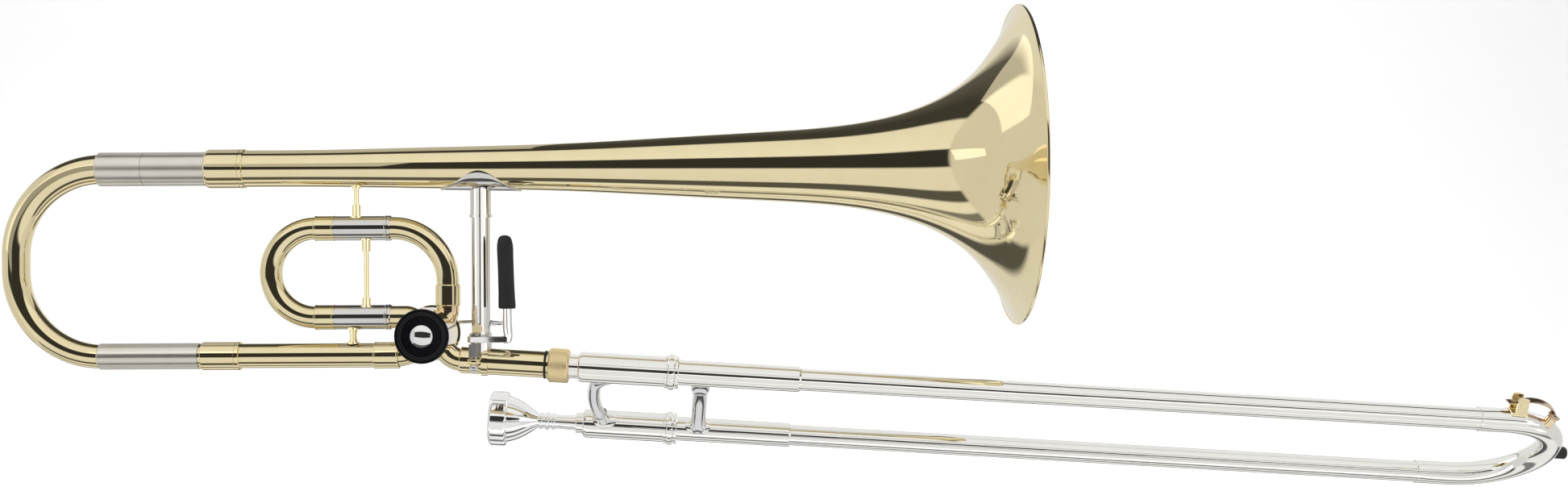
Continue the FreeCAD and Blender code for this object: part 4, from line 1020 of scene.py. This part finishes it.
def make_water_key():
    """The water key's hood, finger plate, barrel and cork cup, and its coil spring."""
    x, z = KEY_PIVOT_X, KEY_PIVOT_Z
    hood = domed_leaf([(x + 1.2, 0, z + 1.6), (x + 6.0, 0, z + 2.9), (x + 11.0, 0, z + 2.9),
                       (x + 17.0, 0, z + 0.9), (x + 21.8, 0, z - 3.2), (x + 24.6, 0, z - 9.2)],
                      lambda at: 1.7 + 3.1 * math.sin(math.pi * min(1.0, at * 1.02) ** 0.8) ** 0.7,
                      lambda at: 1.7 * math.sin(math.pi * at), 0.9)
    finger = domed_leaf([(x - 8.6, 0, z + 0.6), (x - 6.0, 0, z + 0.9), (x - 3.6, 0, z + 0.9),
                         (x - 1.4, 0, z + 0.6)], lambda at: 2.9 - 1.0 * at ** 3, lambda at: 0.3, 0.8)
    sides = 32
    barrel = []
    for y, radius in ((-0.1, 1.05), (-0.1, 1.9), (0.15, 2.1), (3.05, 2.1), (3.3, 1.9), (3.3, 1.05)):
        for side in range(sides):
            angle = math.tau * side / sides
            barrel.append((x + radius * math.sin(angle), y, z + radius * math.cos(angle)))
    barrel = (barrel, rings_to_faces(6, sides, True))
    cup_line = [key_place(SLIDE_BOW_R + distance) for distance in (4.7, 4.95, 5.6, 6.2, 6.6)]
    cup = swept_mesh(cup_line, lambda at: 3.6 + 0.3 * math.sin(math.pi * at), sides=40)
    verts, faces = joined(hood, finger, barrel, cup)
    finish_piece("water_key_hood", verts, faces, KEY_ROLLED, "water_key", ["water_key_lever"], "key_brass",
                 sharp=45.0)
    line = coil_line((x, -3.3, z), (0, 1, 0), 1.55, 2.8, 4.5, steps=24)
    verts, faces = swept_mesh(line, 0.3, sides=10)
    finish_piece("water_key_coil", verts, faces, KEY_ROLLED, "outer_slide", ["water_key_spring"],
                 "spring_steel")


def eased_ear(outline, low, high, edge=0.25):
    """A flat ear standing across the tube: an (x, z) outline given a thickness along y."""
    verts, faces = rounded_plate(outline, low, high, edge)
    return [(x, z, y) for x, y, z in verts], faces


def make_key_saddle():
    """The saddle on the bow: two squarish ears, the strap under them and the pivot screw."""
    x, z = KEY_PIVOT_X, KEY_PIVOT_Z
    outline = [(x - 4.3, 5.6), (x + 3.9, 5.6), (x + 3.5, 8.4)]
    for centre_x, centre_z, radius, start in ((x + 2.0, z + 2.9, 1.3, 0), (x - 1.6, z + 2.5, 2.4, 90)):
        for step in range(9):
            angle = math.radians(start + 90 * step / 8)
            outline.append((centre_x + radius * math.cos(angle), centre_z + radius * math.sin(angle)))
    pieces = [eased_ear(outline, EAR_INNER, EAR_OUTER), eased_ear(outline, -EAR_OUTER, -EAR_INNER)]
    pieces.append(wrapped_strap(x - 6.2, x + 4.0, SLIDE_BOW_R + 0.05, -44.0, 44.0, 0.6))
    sides = 28
    screw = []
    for y, radius in ((-5.5, 0.2), (-5.6, 1.1), (-5.35, 1.6), (-EAR_OUTER, 1.7), (-4.9, 1.0),
                      (4.9, 1.0), (EAR_OUTER, 1.6), (5.3, 1.5), (5.5, 0.9), (5.5, 0.2)):
        for side in range(sides):
            angle = math.tau * side / sides
            screw.append((x + radius * math.cos(angle), y, z + radius * math.sin(angle)))
    pieces.append((screw, capped(rings_to_faces(10, sides, False), 10, sides)))
    verts, faces = joined(*pieces)
    finish_piece("water_key_ears", verts, faces, KEY_ROLLED, "outer_slide", ["water_key_saddle"],
                 "lacquered_brass", sharp=40.0)


# (piece, body) for every CAD node, replaced or not, and then for each piece as it is made.
PIECES = frame_pieces()
MATERIALS = make_materials()
make_camera()
make_studio()
make_floor()
paint_frame()
make_bell()
make_saddle()
make_bows()
make_lever()
make_lever_grip()
make_lever_coil()
make_lever_bracket()
make_lock_nut()
make_mouthpiece()
make_inner_brace()
make_outer_brace()
make_slide_bow()
make_water_key()
make_key_saddle()
make_slide_cards()
make_bell_cards()
